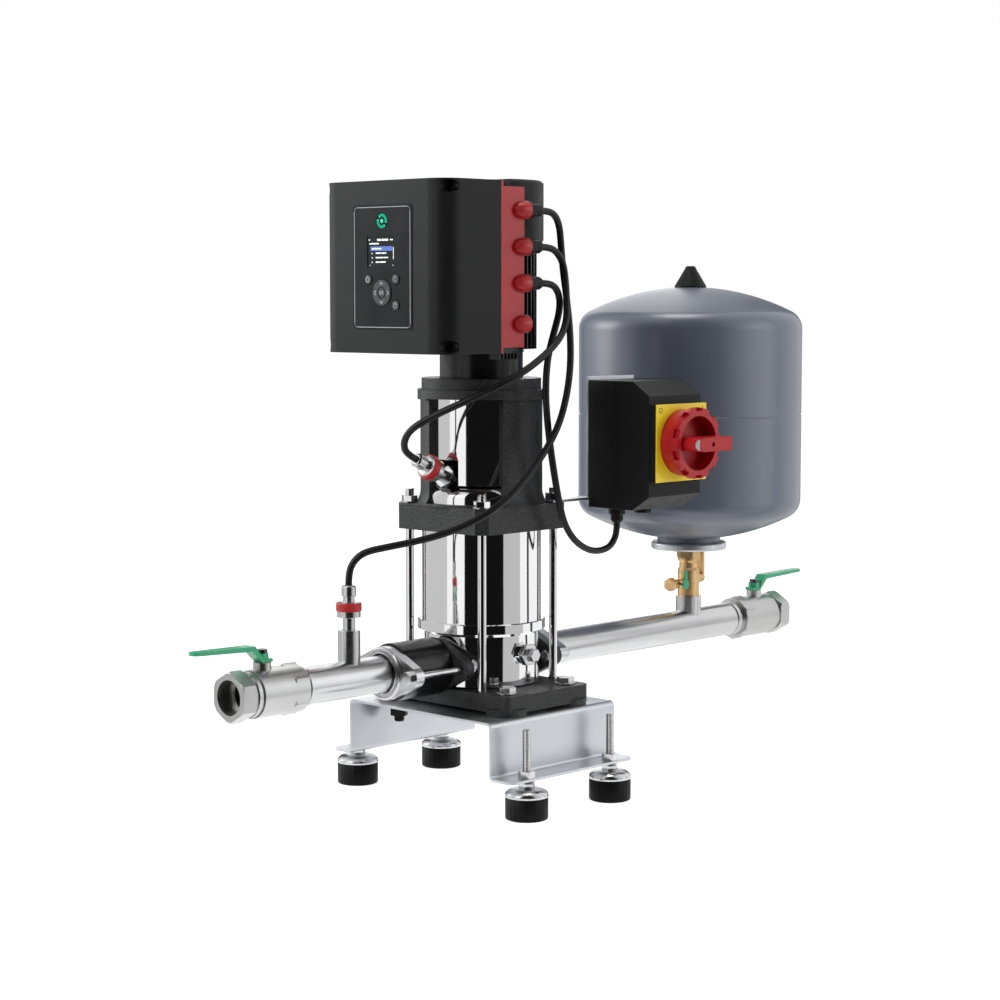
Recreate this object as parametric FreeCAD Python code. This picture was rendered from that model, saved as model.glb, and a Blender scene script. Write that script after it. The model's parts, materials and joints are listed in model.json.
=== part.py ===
import FreeCAD, Part
import math
import os

# Booster pump set: a vertical multistage pump with a frequency converter on its motor,
# a bladder tank and two isolating valves, carried by a bent bracket on levelling feet.
# Lengths are in millimetres and angles in degrees. X runs along the pipe from the inlet
# to the outlet and Z is up. The origin lies on the floor, on the axis of the pump shaft.

# Clearances
running_fit = 0.05
side_gap = 0.3

# Levelling feet
foot_inset_x = 34.0
foot_inset_y = 9.5
pad_radius = 25.0
pad_height = 26.0
pad_chamfer = 1.5
cup_rim = 2.5
cup_height = 10.0
foot_hex_width = 17.0
foot_hex_height = 8.0
stud_radius = 5.0
stud_length = 58.0
foot_nut_height = 8.0

# Bracket of bent sheet
sheet = 3.0
bend_radius = 3.0
bracket_length = 210.0
bracket_width = 236.0
bracket_rise = 66.0
bracket_flange = 33.0
bracket_corner = 12.0
stud_hole_gap = 0.5

# Cast base plate
base_length = 141.0
base_width = 220.0
base_thickness = 20.0
base_corner = 9.0
base_wall = 9.0
base_web = 9.0
base_pad_radius = 24.0
base_pad_height = 4.0
base_hole_pitch_x = 100.0
base_hole_pitch_y = 180.0
base_bolt_radius = 6.0
base_bolt_hole_gap = 0.5
base_bolt_hex = 19.0
base_bolt_head = 8.0
base_bolt_nut = 10.0
base_bolt_end = 5.0

# Pump chamber with its two ports
port_rise = 50.3
port_span = 160.0
port_bore = 16.0
port_neck_radius = 25.0
chamber_radius = 68.0
chamber_wall = 3.0
chamber_floor = 5.0
chamber_height = 63.5
collar_radius = 75.5
collar_height = 12.5
riser_radius = 20.0
riser_wall = 3.0
plug_rise = 38.7
plug_hex = 24.0
plug_hex_length = 7.0
plug_boss_radius = 12.0
plug_boss_length = 5.0
plug_cap_hex = 14.0
plug_cap_length = 9.0

# Sleeve, stages and impellers
sleeve_radius = 70.5
sleeve_wall = 1.5
sleeve_length = 106.5
stage_count = 4
stage_radius = 62.0
stage_wall = 1.5
stage_web = 2.0
impeller_radius = 54.0
impeller_eye = 15.0
impeller_disc = 1.5
impeller_rise = 3.5
impeller_width = 12.0
impeller_hub = 11.0
vane_count = 6
vane_thickness = 1.5
vane_lean = 50.0

# Tie rods
rod_pitch = 120.0
rod_radius = 5.0
rod_thread_depth = 12.0
rod_nut_hex = 17.0
rod_nut_height = 8.5
rod_end = 6.0

# Motor stool and pump head
stool_flange_half = 74.6
stool_flange_thickness = 30.0
stool_flange_cut = 11.3
stool_radius = 72.0
stool_wall = 7.5
stool_flare = 6.0
stool_flare_height = 18.0
stool_height = 147.5
stool_band_radius = 75.3
stool_band_height = 12.0
stool_neck_radius = 70.5
stool_neck_height = 13.0
stool_top_plate = 8.0
stool_mouth_rise = 3.5
stool_mouth_taper = 14.0
window_sill = 2.0
window_height = 122.0
window_centre = 206.0
window_angle = 78.0
head_plate_radius = 72.3
head_plate_thickness = 6.0
dome_radius = 70.0
dome_height = 51.5
dome_side = 24.0
dome_crown_radius = 34.0
dome_wall = 3.0
seal_housing_radius = 22.0
seal_housing_height = 6.0
seal_radius = 13.0
guard_sheet = 0.8
guard_overlap = 4.0
guard_rise = 17.0
guard_notch_angle = 37.0
guard_notch_height = 36.5

# Shaft and coupling
shaft_radius = 8.0
motor_shaft_radius = 12.0
shaft_bottom_gap = 6.0
coupling_radius = 27.0
coupling_rise = 51.5
coupling_length = 54.0

# Motor
motor_neck_radius = 49.0
motor_neck_height = 30.0
motor_radius = 50.0
motor_bore = 44.5
motor_height = 126.0
motor_spigot = 30.0
end_plate = 12.0
bearing_radius = 22.0
bearing_width = 9.0
stator_bore = 26.5
stator_margin = 24.0
winding_radius = 42.0
winding_bore = 30.0
winding_length = 10.0
air_gap = 0.5
fin_radius = 65.0
fin_thickness = 2.0
fin_step = 8.0
fin_limit = 104.0
fan_cover_radius = 73.0
fan_cover_height = 73.0
fan_cover_skirt = 10.0
fan_cover_wall = 2.0
fan_cover_flat = 22.0
fan_hub_radius = 18.0
fan_radius = 44.0
fan_height = 22.0
fan_rise = 20.0
fan_blades = 7
blade_thickness = 2.0
grille_slots = 9
grille_slot_width = 4.5

# Frequency converter
box_front = 161.0
box_width = 206.0
box_height = 193.6
box_bottom_rise = 1.0
cover_depth = 88.5
cover_wall = 3.0
cover_corner = 28.0
cover_screw_radius = 7.0
cover_screw_depth = 22.0
cover_screw_inset_y = 6.5
cover_screw_inset_z = 8.5
band_depth = 38.5
band_inset_y = 1.0
band_inset_z = 6.5
band_lip = 3.5
band_web = 4.0
band_heat_sink = 20.0
saddle_gap = 0.1
comb_teeth = 6
comb_pitch = 5.5
comb_drop = 7.0
comb_run = 16.0
comb_inset = 6.0

# Control panel with its buttons
panel_width = 97.0
panel_height = 140.0
panel_y = -3.0
panel_z = 621.6
panel_thickness = 4.5
panel_proud = 0.6
panel_corner = 5.0
screen_width = 49.0
screen_height = 35.0
screen_z = 638.3
screen_depth = 0.8
indicator_radius = 9.0
indicator_z = 673.3
key_radius = 6.0
key_side_y = 22.5
key_upper_z = 608.2
key_lower_z = 578.9
ring_outer = 15.0
ring_inner = 6.3
ring_z = 593.1
ok_radius = 6.0
key_length = 6.0
key_proud = 1.2

# Cable glands and cables
cable_radius = 4.0
gland_out = 1.0
gland_heights = (686.0, 645.0, 604.0)
blank_boss_height = 558.0
boss_length = 17.5
boss_radius = 10.0
boss_tip_radius = 3.0
gland_hex = 18.0
gland_hex_length = 9.0
gland_dome_radius = 7.5
gland_dome_length = 16.0
switch_gland_dome_length = 10.0
cord_share = 0.45

# Pressure sensors
sensor_neck_radius = 7.0
sensor_neck = 15.0
sensor_collar_radius = 13.5
sensor_collar = 7.0
sensor_ring_radius = 14.5
sensor_ring = 9.5
sensor_top_radius = 6.5
sensor_top = 7.0
sensor_nut_radius = 8.3
sensor_nut = 12.5
head_sensor_seat = (-54.0, -5.0, 375.0)
head_sensor_tilt = 26.0
adapter_hex = 24.0
adapter_length = 14.0
adapter_boss_radius = 11.0
adapter_boss_length = 30.0

# Pipes with their oval flanges
pipe_radius = 21.2
pipe_wall = 2.0
oval_centre_radius = 31.0
oval_lobe_radius = 12.0
oval_bolt_offset = 44.0
oval_thickness = 12.0
oval_bolt_radius = 4.0
oval_bolt_gap = 0.5
oval_bolt_hex = 13.0
oval_bolt_head = 6.5
oval_nut = 7.0
oval_bolt_end = 4.0
suction_pipe_length = 132.0
discharge_pipe_length = 385.0
weld_ring = 1.3
weld_ring_length = 6.0

# Check valve
check_length = 68.0
check_radius = 33.5
check_bore = 16.0
check_cavity_radius = 27.0
check_end_wall = 12.0
poppet_radius = 21.0
poppet_thickness = 5.0
poppet_stem_radius = 4.0
spider_radius = 8.0
spider_arm = 5.0

# Ball valves on the pipe
valve_length = 94.0
valve_bore = 16.0
valve_thread_radius = 19.4
valve_thread_depth = 21.0
valve_radius = 26.8
valve_hex = 50.0
valve_outer_hex_length = 19.0
valve_groove_radius = 23.5
valve_groove = 4.0
valve_ring_radius = 25.3
valve_ring = 5.0
valve_inner_hex_length = 19.0
valve_ball_radius = 24.0
valve_stem_radius = 6.0
valve_stem_position = 47.0
valve_boss_radius = 10.0
valve_boss_rise = 34.0
stem_length = 48.0
lever_thickness = 3.5
lever_width = 15.0
lever_hub = 9.0
lever_elbow = 19.0
lever_rise = 17.0
lever_reach = 98.0
lever_nut_hex = 13.0
lever_nut_height = 6.0
pipe_spigot = 15.0

# Bladder tank
tank_x = 385.0
tank_radius = 144.0
tank_bottom = 274.5
tank_top = 601.0
tank_crown = 288.0
tank_knuckle = 25.0
tank_sheet = 1.0
tank_seam_gap = 1.2
tank_seam_depth = 0.8
diaphragm_sheet = 1.5
diaphragm_drop = 95.0
diaphragm_clamp = 8.0
diaphragm_crown = 230.0
diaphragm_knuckle = 50.0
tank_neck_radius = 41.0
tank_neck_height = 3.0
tank_flange_radius = 49.0
tank_flange_thickness = 10.0
tank_nipple_radius = 10.0
tank_nipple_bore = 7.0
tank_nipple_length = 12.0
cap_base_radius = 20.5
cap_top_radius = 7.0
cap_height = 27.0
cap_wall = 2.0
air_valve_radius = 4.0
air_valve_height = 14.0

# Tank valve with its drain cock
tank_stub_radius = 16.5
tank_stub_height = 39.5
sensor_stub_x = 212.0
sensor_stub_radius = 12.8
sensor_stub_height = 55.5
tank_valve_radius = 14.0
tank_valve_hex = 27.0
tank_valve_hex_height = 12.0
tank_valve_waist = 12.0
tank_valve_ball = 11.0
tank_valve_ball_rise = 22.0
tank_valve_bore = 7.0
tank_stem_radius = 4.0
tank_stem_reach = 26.0
tank_lever_width = 12.0
tank_lever_length = 36.0
tank_lever_thickness = 4.0
drain_rise = 17.0
drain_reach = 40.0
drain_radius = 6.0
drain_cap_radius = 7.5
drain_cap_length = 9.0
drain_cock_offset = 20.0
drain_pin_radius = 2.0
drain_lever_length = 18.0

# Isolating switch
switch_left = 110.0
switch_width = 94.0
switch_back = 71.0
switch_bottom_rise = 21.5
switch_height = 152.0
switch_base_depth = 42.0
switch_cover_depth = 53.0
switch_wall = 3.0
switch_bevel_depth = 26.0
switch_bevel_height = 17.0
switch_pad = 91.0
switch_pad_thickness = 8.5
switch_plate_thickness = 1.5
switch_plate_rise = 80.0
switch_back_inset = 12.0
switch_back_over = 4.0
switch_arm_width = 20.0
switch_arm_start = 48.0
contact_block = 52.0
contact_depth = 34.0
knob_radius = 39.0
knob_rim_radius = 42.0
knob_rim = 8.0
knob_bore = 32.0
knob_depth = 26.0
knob_floor = 6.0
knob_notches = 10
knob_notch_width = 11.0
grip_half_length = 29.0
grip_half_height = 8.0
grip_reach = 26.0
grip_hole_radius = 2.7
grip_hole_x = -5.0
handle_shaft_radius = 5.0
switch_gland_x = 138.0
switch_gland_y = 92.0
switch_blank_x = 176.0
switch_blank_y = 100.0

# Heights and pitches that follow from the sizes above
foot_pitch_x = bracket_length - foot_inset_x * 2
foot_pitch_y = bracket_width + (bracket_flange - foot_inset_y) * 2
gland_y = box_width / 2 + gland_out
flange_bottom = pad_height + cup_height + foot_hex_height
bracket_top = flange_bottom + bracket_rise
base_bottom = bracket_top + base_pad_height
base_top = base_bottom + base_thickness
port_z = bracket_top + port_rise
collar_top = base_top + chamber_height + collar_height
stool_bottom = collar_top + sleeve_length
flange_top = stool_bottom + stool_flange_thickness
motor_seat = flange_top + stool_height
motor_base = motor_seat + motor_neck_height
motor_top = motor_base + motor_height
box_bottom = motor_base + box_bottom_rise
box_top = box_bottom + box_height
head_top = stool_bottom + head_plate_thickness + dome_height
tank_middle = (tank_bottom + tank_top) / 2
tank_valve_bottom = port_z + tank_stub_height
switch_bottom = stool_bottom + switch_bottom_rise
switch_centre = (switch_left + switch_width / 2, switch_bottom + switch_plate_rise)

# Places along the pipe
port_face = port_span / 2
check_face = port_face + check_length
suction_flange_face = check_face + oval_thickness
inlet_valve_end = suction_flange_face + suction_pipe_length
discharge_flange_face = port_face + oval_thickness
outlet_valve_end = discharge_flange_face + discharge_pipe_length


def vec(x, y, z):
    return FreeCAD.Vector(x, y, z)


def block(x, y, z):
    """Box between the (low, high) pairs x, y and z."""
    return Part.makeBox(x[1] - x[0], y[1] - y[0], z[1] - z[0], vec(x[0], y[0], z[0]))


def aimed(shape, at, axis):
    """Shape that was built along +Z from the origin, set at a point and turned to an axis."""
    placed = shape.copy()
    placed.Placement = FreeCAD.Placement(vec(*at), FreeCAD.Rotation(vec(0, 0, 1), vec(*axis)))
    return placed


def rod(radius, start, end):
    axis = vec(*end).sub(vec(*start))
    return Part.makeCylinder(radius, axis.Length, vec(*start), axis)


def tube(outer, inner, start, end):
    return rod(outer, start, end).cut(rod(inner, start, end))


def outline_face(points):
    """Face in the XZ plane. An item ((x, z), (x, z)) is an arc through its first point."""
    edges = []
    here = points[0]
    for item in points[1:] + points[:1]:
        if isinstance(item[0], tuple):
            middle, there = item
            arc = Part.Arc(vec(here[0], 0, here[1]), vec(middle[0], 0, middle[1]), vec(there[0], 0, there[1]))
            edges.append(arc.toShape())
        else:
            there = item
            edges.append(Part.LineSegment(vec(here[0], 0, here[1]), vec(there[0], 0, there[1])).toShape())
        here = there
    return Part.Face(Part.Wire(edges))


def turned(outline, at=(0, 0, 0), axis=(0, 0, 1)):
    """Solid of revolution of a closed outline of (radius, height) points."""
    solid = outline_face(outline).revolve(vec(0, 0, 0), vec(0, 0, 1), 360)
    if solid.Volume < 0:
        solid.reverse()
    return aimed(solid, at, axis)


def prism(points, direction, low, high):
    """Polygon in the two other axes, in X, Y, Z order, extruded from low to high."""
    place = {
        "X": lambda a, b: vec(low, a, b),
        "Y": lambda a, b: vec(a, low, b),
        "Z": lambda a, b: vec(a, b, low),
    }[direction]
    step = {"X": vec(high - low, 0, 0), "Y": vec(0, high - low, 0), "Z": vec(0, 0, high - low)}[direction]
    corners = [place(a, b) for a, b in points]
    return Part.Face(Part.makePolygon(corners + corners[:1])).extrude(step)


def hexagon(across_flats, start, end):
    corner = across_flats / math.sqrt(3)
    points = [(corner * math.cos(math.radians(60 * i)), corner * math.sin(math.radians(60 * i))) for i in range(6)]
    axis = vec(*end).sub(vec(*start))
    return aimed(prism(points, "Z", 0, axis.Length), start, tuple(axis))


def joined(*shapes):
    return shapes[0].fuse(list(shapes[1:])).removeSplitter()


def spun(shape, angle):
    """Copy of a shape, turned about the pump axis."""
    turned_copy = shape.copy()
    turned_copy.rotate(vec(0, 0, 0), vec(0, 0, 1), angle)
    return turned_copy


def mirrored_x(shape):
    return shape.mirror(vec(0, 0, 0), vec(1, 0, 0))


def edges_along(shape, axis, places):
    """Straight edges along an axis that pass one of the places, given in the two other axes."""
    others = [i for i in range(3) if i != "XYZ".index(axis)]
    found = []
    for edge in shape.Edges:
        ends = [vertex.Point for vertex in edge.Vertexes]
        if len(ends) != 2:
            continue
        for place in places:
            if all(abs(end[i] - value) < 0.01 for end in ends for i, value in zip(others, place)):
                found.append(edge)
                break
    return found


def rounded(shape, radius, axis, places):
    return shape.makeFillet(radius, edges_along(shape, axis, places))


def corners_of(half_x, half_y):
    return [(sx * half_x, sy * half_y) for sx in (-1, 1) for sy in (-1, 1)]


def save(name, *shapes):
    """Write every solid of the shapes to the STEP file of one node."""
    solids = [solid for shape in shapes for solid in shape.Solids]
    whole = solids[0] if len(solids) == 1 else Part.makeCompound(solids)
    whole.exportStep("parts/" + name + ".step")


# Feet, bracket and base plate

def levelling_foot(x, y):
    """Moulded rubber pad, and the steel cup with its hexagon and threaded stud."""
    pad = turned([(0, 0), (pad_radius - pad_chamfer, 0), (pad_radius, pad_chamfer),
                  (pad_radius, pad_height), (0, pad_height)])
    hex_z = pad_height + cup_height
    shoulder = foot_hex_width / 2
    cup = turned([(0, pad_height), (pad_radius, pad_height), (pad_radius, pad_height + cup_rim),
                  ((pad_radius * 0.78, pad_height + cup_height * 0.72), (shoulder, hex_z)), (0, hex_z)])
    nut = hexagon(foot_hex_width, (0, 0, hex_z), (0, 0, flange_bottom))
    stud = rod(stud_radius, (0, 0, hex_z), (0, 0, flange_bottom + stud_length))
    metal = joined(cup, nut, stud)
    return [aimed(piece, (x, y, 0), (0, 0, 1)) for piece in (pad, metal)]


def base_bracket():
    """Hat section: a top plate, two webs and two flanges that carry the feet."""
    web = bracket_width / 2
    inner = web - sheet
    edge = web + bracket_flange
    flange_top_z = flange_bottom + sheet
    under = bracket_top - sheet
    section = [(-edge, flange_bottom), (-inner, flange_bottom), (-inner, under), (inner, under),
               (inner, flange_bottom), (edge, flange_bottom), (edge, flange_top_z), (web, flange_top_z),
               (web, bracket_top), (-web, bracket_top), (-web, flange_top_z), (-edge, flange_top_z)]
    half = bracket_length / 2
    body = prism(section, "X", -half, half)
    inside_bends = [(side * inner, under) for side in (-1, 1)] + [(side * web, flange_top_z) for side in (-1, 1)]
    outside_bends = [(side * inner, flange_bottom) for side in (-1, 1)] + [(side * web, bracket_top) for side in (-1, 1)]
    body = rounded(body, bend_radius, "X", inside_bends)
    body = rounded(body, bend_radius + sheet, "X", outside_bends)
    body = rounded(body, bracket_corner, "Z", corners_of(half, edge))
    holes = []
    for x, y in corners_of(foot_pitch_x / 2, foot_pitch_y / 2):
        holes.append(rod(stud_radius + stud_hole_gap, (x, y, flange_bottom - 1), (x, y, flange_top_z + 1)))
    for x, y in corners_of(base_hole_pitch_x / 2, base_hole_pitch_y / 2):
        holes.append(rod(base_bolt_radius + base_bolt_hole_gap, (x, y, under - 1), (x, y, bracket_top + 1)))
    return body.cut(holes)


def base_plate():
    """Cast plate on four round pads, hollow below, with tapped holes for the tie rods."""
    half_x = base_length / 2
    half_y = base_width / 2
    body = block((-half_x, half_x), (-half_y, half_y), (base_bottom, base_top))
    body = rounded(body, base_corner, "Z", corners_of(half_x, half_y))
    hollow_x = half_x - base_wall
    hollow_y = base_hole_pitch_y / 2 - base_pad_radius
    hollow = block((-hollow_x, hollow_x), (-hollow_y, hollow_y), (base_bottom - 1, base_top - base_web))
    rib = block((-base_wall / 2, base_wall / 2), (-hollow_y, hollow_y), (base_bottom, base_top - base_web))
    pads = []
    holes = []
    for x, y in corners_of(base_hole_pitch_x / 2, base_hole_pitch_y / 2):
        pads.append(rod(base_pad_radius, (x, y, bracket_top), (x, y, base_bottom + base_pad_height)))
        holes.append(rod(base_bolt_radius + base_bolt_hole_gap, (x, y, bracket_top - 1), (x, y, base_top + 1)))
    for x, y in corners_of(rod_pitch / 2, rod_pitch / 2):
        pads.append(rod(rod_radius * 2, (x, y, base_bottom), (x, y, base_top)))
        holes.append(rod(rod_radius, (x, y, base_top - rod_thread_depth), (x, y, base_top + 1)))
    return joined(body.cut(hollow), rib, *pads).cut(holes)


def base_fasteners():
    """Four bolts through the base plate and bracket, and the lock nuts of the feet."""
    pieces = []
    under = bracket_top - sheet
    for x, y in corners_of(base_hole_pitch_x / 2, base_hole_pitch_y / 2):
        head = hexagon(base_bolt_hex, (x, y, base_top), (x, y, base_top + base_bolt_head))
        end_z = under - base_bolt_nut - base_bolt_end
        shank = rod(base_bolt_radius, (x, y, end_z), (x, y, base_top))
        nut = hexagon(base_bolt_hex, (x, y, under - base_bolt_nut), (x, y, under))
        pieces.append(joined(head, shank, nut))
    nut_z = flange_bottom + sheet
    for x, y in corners_of(foot_pitch_x / 2, foot_pitch_y / 2):
        nut = hexagon(foot_hex_width, (x, y, nut_z), (x, y, nut_z + foot_nut_height))
        pieces.append(nut.cut(rod(stud_radius + running_fit, (x, y, nut_z - 1), (x, y, nut_z + foot_nut_height + 1))))
    return pieces


# Pump

def pump_chamber():
    """Bottom casing: inlet elbow to the first stage, and an outer space open to the outlet."""
    body_top = base_top + chamber_height
    lip = chamber_radius - chamber_wall
    shell = turned([(0, base_top), (chamber_radius - 2, base_top), (chamber_radius, base_top + 2),
                    (chamber_radius, body_top - 3), (collar_radius - 2, body_top), (collar_radius, body_top + 1),
                    (collar_radius, collar_top - 1), (collar_radius - 1, collar_top), (0, collar_top)])
    necks = rod(port_neck_radius, (-port_face, 0, port_z), (port_face, 0, port_z))
    cavity = rod(lip, (0, 0, base_top + chamber_floor), (0, 0, collar_top + 1))
    elbow = rod(port_bore + riser_wall, (-chamber_radius + 1, 0, port_z), (0, 0, port_z))
    riser = rod(riser_radius + riser_wall, (0, 0, port_z - port_bore - riser_wall), (0, 0, collar_top))
    body = joined(joined(shell, necks).cut(cavity), elbow, riser)
    inlet = rod(port_bore, (-port_face - 1, 0, port_z), (0, 0, port_z))
    rise = rod(riser_radius, (0, 0, port_z - port_bore), (0, 0, collar_top + 1))
    outlet = rod(port_bore, (chamber_radius - chamber_wall - 5, 0, port_z), (port_face + 1, 0, port_z))
    plug_z = base_top + plug_rise
    boss_end = -chamber_radius - plug_boss_length
    boss = rod(plug_boss_radius, (0, -lip - 1, plug_z), (0, boss_end, plug_z))
    return joined(body.cut([inlet, rise, outlet]), boss)


def oval_plate(low, high, hole):
    """Two-bolt flange across the pipe between two places along it."""
    spread = math.acos((oval_centre_radius - oval_lobe_radius) / oval_bolt_offset)
    rim = []
    for side_y, side_z in ((1, 1), (-1, 1), (-1, -1), (1, -1)):
        near = (oval_centre_radius * math.cos(spread), oval_centre_radius * math.sin(spread))
        far = (oval_bolt_offset + oval_lobe_radius * math.cos(spread), oval_lobe_radius * math.sin(spread))
        pair = [near, far] if side_y * side_z < 0 else [far, near]
        rim += [(side_y * a, port_z + side_z * b) for a, b in pair]
    parts = [rod(oval_centre_radius, (low, 0, port_z), (high, 0, port_z))]
    holes = [rod(hole, (low - 1, 0, port_z), (high + 1, 0, port_z))]
    for y in (-oval_bolt_offset, oval_bolt_offset):
        parts.append(rod(oval_lobe_radius, (low, y, port_z), (high, y, port_z)))
        holes.append(rod(oval_bolt_radius + oval_bolt_gap, (low - 1, y, port_z), (high + 1, y, port_z)))
    return joined(prism(rim, "X", low, high), *parts).cut(holes)


def port_flanges():
    outlet_side = oval_plate(port_face - oval_thickness, port_face, port_neck_radius)
    inlet_side = oval_plate(-port_face, -port_face + oval_thickness, port_neck_radius)
    chamber = rod(chamber_radius, (0, 0, base_top), (0, 0, collar_top))
    reach_x = base_length / 2 + side_gap
    reach_y = base_width / 2
    plate = block((-reach_x, reach_x), (-reach_y, reach_y), (base_bottom, base_top + side_gap))
    return [outlet_side.cut([chamber, plate]), inlet_side.cut([chamber, plate])]


def drain_plug():
    start = -chamber_radius - plug_boss_length
    z = base_top + plug_rise
    body = hexagon(plug_hex, (0, start, z), (0, start - plug_hex_length, z))
    cap = hexagon(plug_cap_hex, (0, start - plug_hex_length, z), (0, start - plug_hex_length - plug_cap_length, z))
    return joined(body, cap)


def outer_sleeve():
    return tube(sleeve_radius, sleeve_radius - sleeve_wall, (0, 0, collar_top), (0, 0, stool_bottom))


def tie_rods():
    """Four rods from the base plate through the stool's flange, each with its nut."""
    pieces = []
    for x, y in corners_of(rod_pitch / 2, rod_pitch / 2):
        seat = flange_top + (sheet if x > 0 and y < 0 else 0)
        top = seat + rod_nut_height + rod_end
        bar = rod(rod_radius, (x, y, base_top - rod_thread_depth), (x, y, top))
        nut = hexagon(rod_nut_hex, (x, y, seat), (x, y, seat + rod_nut_height))
        pieces.append(joined(bar, nut))
    return pieces


def stage_pitch():
    return sleeve_length / stage_count


def stage_chambers():
    """Stack of pressed cups, each with a web that the next impeller's eye passes."""
    cups = []
    for i in range(stage_count):
        low = collar_top + i * stage_pitch()
        high = low + stage_pitch()
        eye = impeller_eye + side_gap
        cups.append(turned([(eye, low), (stage_radius, low), (stage_radius, high), (stage_radius - stage_wall, high),
                            (stage_radius - stage_wall, low + stage_web), (eye, low + stage_web)]))
    return cups


def impeller(low):
    """Closed impeller with leaning vanes between its shroud and its back disc."""
    bottom = low + impeller_rise
    top = bottom + impeller_width
    bore = shaft_radius
    throat = impeller_eye - impeller_disc
    shroud = turned([(throat, low), (impeller_eye, low), (impeller_eye, bottom), (impeller_radius, bottom),
                     (impeller_radius, bottom + impeller_disc), (throat, bottom + impeller_disc)])
    back = turned([(bore, bottom + impeller_disc), (impeller_hub, bottom + impeller_disc),
                   (impeller_hub, top - impeller_disc), (impeller_radius, top - impeller_disc),
                   (impeller_radius, top), (bore, top)])
    vanes = []
    for i in range(vane_count):
        reach = (impeller_radius - impeller_eye) / math.cos(math.radians(vane_lean)) * 0.8
        vane = block((0, reach), (0, vane_thickness), (bottom + impeller_disc, top - impeller_disc))
        vane.rotate(vec(0, 0, 0), vec(0, 0, 1), -vane_lean)
        vane.translate(vec(impeller_eye, 0, 0))
        vanes.append(spun(vane, i * 360 / vane_count))
    return joined(shroud, back, *vanes)


def pump_head():
    """Domed cover of the stages, with the seal housing and the sensor's boss."""
    plate_top = stool_bottom + head_plate_thickness
    side_top = plate_top + dome_side
    turn = math.sqrt(0.5)
    crown = head_top - dome_wall
    shoulder = (dome_crown_radius + (dome_radius - dome_crown_radius) * turn, side_top + (head_top - side_top) * turn)
    inner_radius = dome_radius - dome_wall
    inner_shoulder = (dome_crown_radius + (inner_radius - dome_crown_radius) * turn, side_top + (crown - side_top) * turn)
    housing_top = head_top + seal_housing_height
    outside = turned([(0, stool_bottom), (head_plate_radius, stool_bottom), (head_plate_radius, plate_top),
                      (dome_radius, plate_top), (dome_radius, side_top), (shoulder, (dome_crown_radius, head_top)),
                      (seal_housing_radius, head_top), (seal_housing_radius, housing_top), (0, housing_top)])
    inside = turned([(0, stool_bottom - 1), (inner_radius, stool_bottom - 1), (inner_radius, side_top),
                     (inner_shoulder, (dome_crown_radius, crown)), (0, crown)])
    away = sensor_axis()
    start = vec(*head_sensor_seat).sub(away * adapter_boss_length)
    boss = rod(adapter_boss_radius, tuple(start), head_sensor_seat)
    adapter_end = vec(*head_sensor_seat).add(away * adapter_length)
    spot_face = rod(adapter_hex / math.sqrt(3) + side_gap, head_sensor_seat, tuple(adapter_end))
    seal_bore = rod(seal_radius, (0, 0, head_top - dome_wall - 1), (0, 0, housing_top + 1))
    return joined(outside, boss).cut([inside, seal_bore, spot_face])


def sensor_axis():
    tilt = math.radians(head_sensor_tilt)
    return vec(-math.cos(tilt), 0, math.sin(tilt))


def sector(radius, start, end, low, high):
    """Wedge about the pump axis between two angles."""
    middle = (start + end) / 2
    reach = radius / math.cos(math.radians((end - start) / 4))
    points = [(0, 0)]
    for angle in (start, middle, end):
        points.append((reach * math.cos(math.radians(angle)), reach * math.sin(math.radians(angle))))
    return prism(points, "Z", low, high)


def motor_stool():
    """Cast stool with a square flange below, two windows and the motor's seat on top."""
    half = stool_flange_half
    cut = half - stool_flange_cut
    flange = prism([(half, -cut), (half, cut), (cut, half), (-cut, half), (-half, cut), (-half, -cut),
                    (-cut, -half), (cut, -half)], "Z", stool_bottom, flange_top)
    band_low = motor_seat - stool_neck_height - stool_band_height
    column = turned([(0, flange_top - 1), (stool_radius + stool_flare, flange_top - 1),
                     (stool_radius + stool_flare, flange_top),
                     ((stool_radius + stool_flare * 0.3, flange_top + stool_flare_height * 0.4),
                      (stool_radius, flange_top + stool_flare_height)),
                     (stool_radius, band_low), (stool_band_radius, band_low),
                     (stool_band_radius, band_low + stool_band_height),
                     (stool_neck_radius, band_low + stool_band_height),
                     (stool_neck_radius, motor_seat), (0, motor_seat)])
    bore = stool_radius - stool_wall
    recess = rod(head_plate_radius, (0, 0, stool_bottom - 1), (0, 0, stool_bottom + head_plate_thickness))
    mouth = dome_radius + side_gap
    mouth_top = flange_top + stool_mouth_rise
    hollow = turned([(0, stool_bottom), (mouth, stool_bottom), (mouth, mouth_top), (bore, mouth_top + stool_mouth_taper),
                     (bore, motor_seat - stool_top_plate), (0, motor_seat - stool_top_plate)])
    spigot = rod(motor_spigot, (0, 0, motor_seat - stool_top_plate - 1), (0, 0, motor_seat + 1))
    holes = [recess, hollow, spigot]
    low = flange_top + window_sill
    for centre in (window_centre, window_centre - 180):
        holes.append(sector(stool_radius * 1.5, centre - window_angle / 2, centre + window_angle / 2,
                            low, low + window_height))
    for x, y in corners_of(rod_pitch / 2, rod_pitch / 2):
        holes.append(rod(rod_radius + stud_hole_gap, (x, y, stool_bottom - 1), (x, y, flange_top + 1)))
        holes.append(rod(rod_nut_hex * 0.65, (x, y, flange_top), (x, y, flange_top + stool_flare_height * 2)))
    return joined(flange, column).cut(holes)


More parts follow.
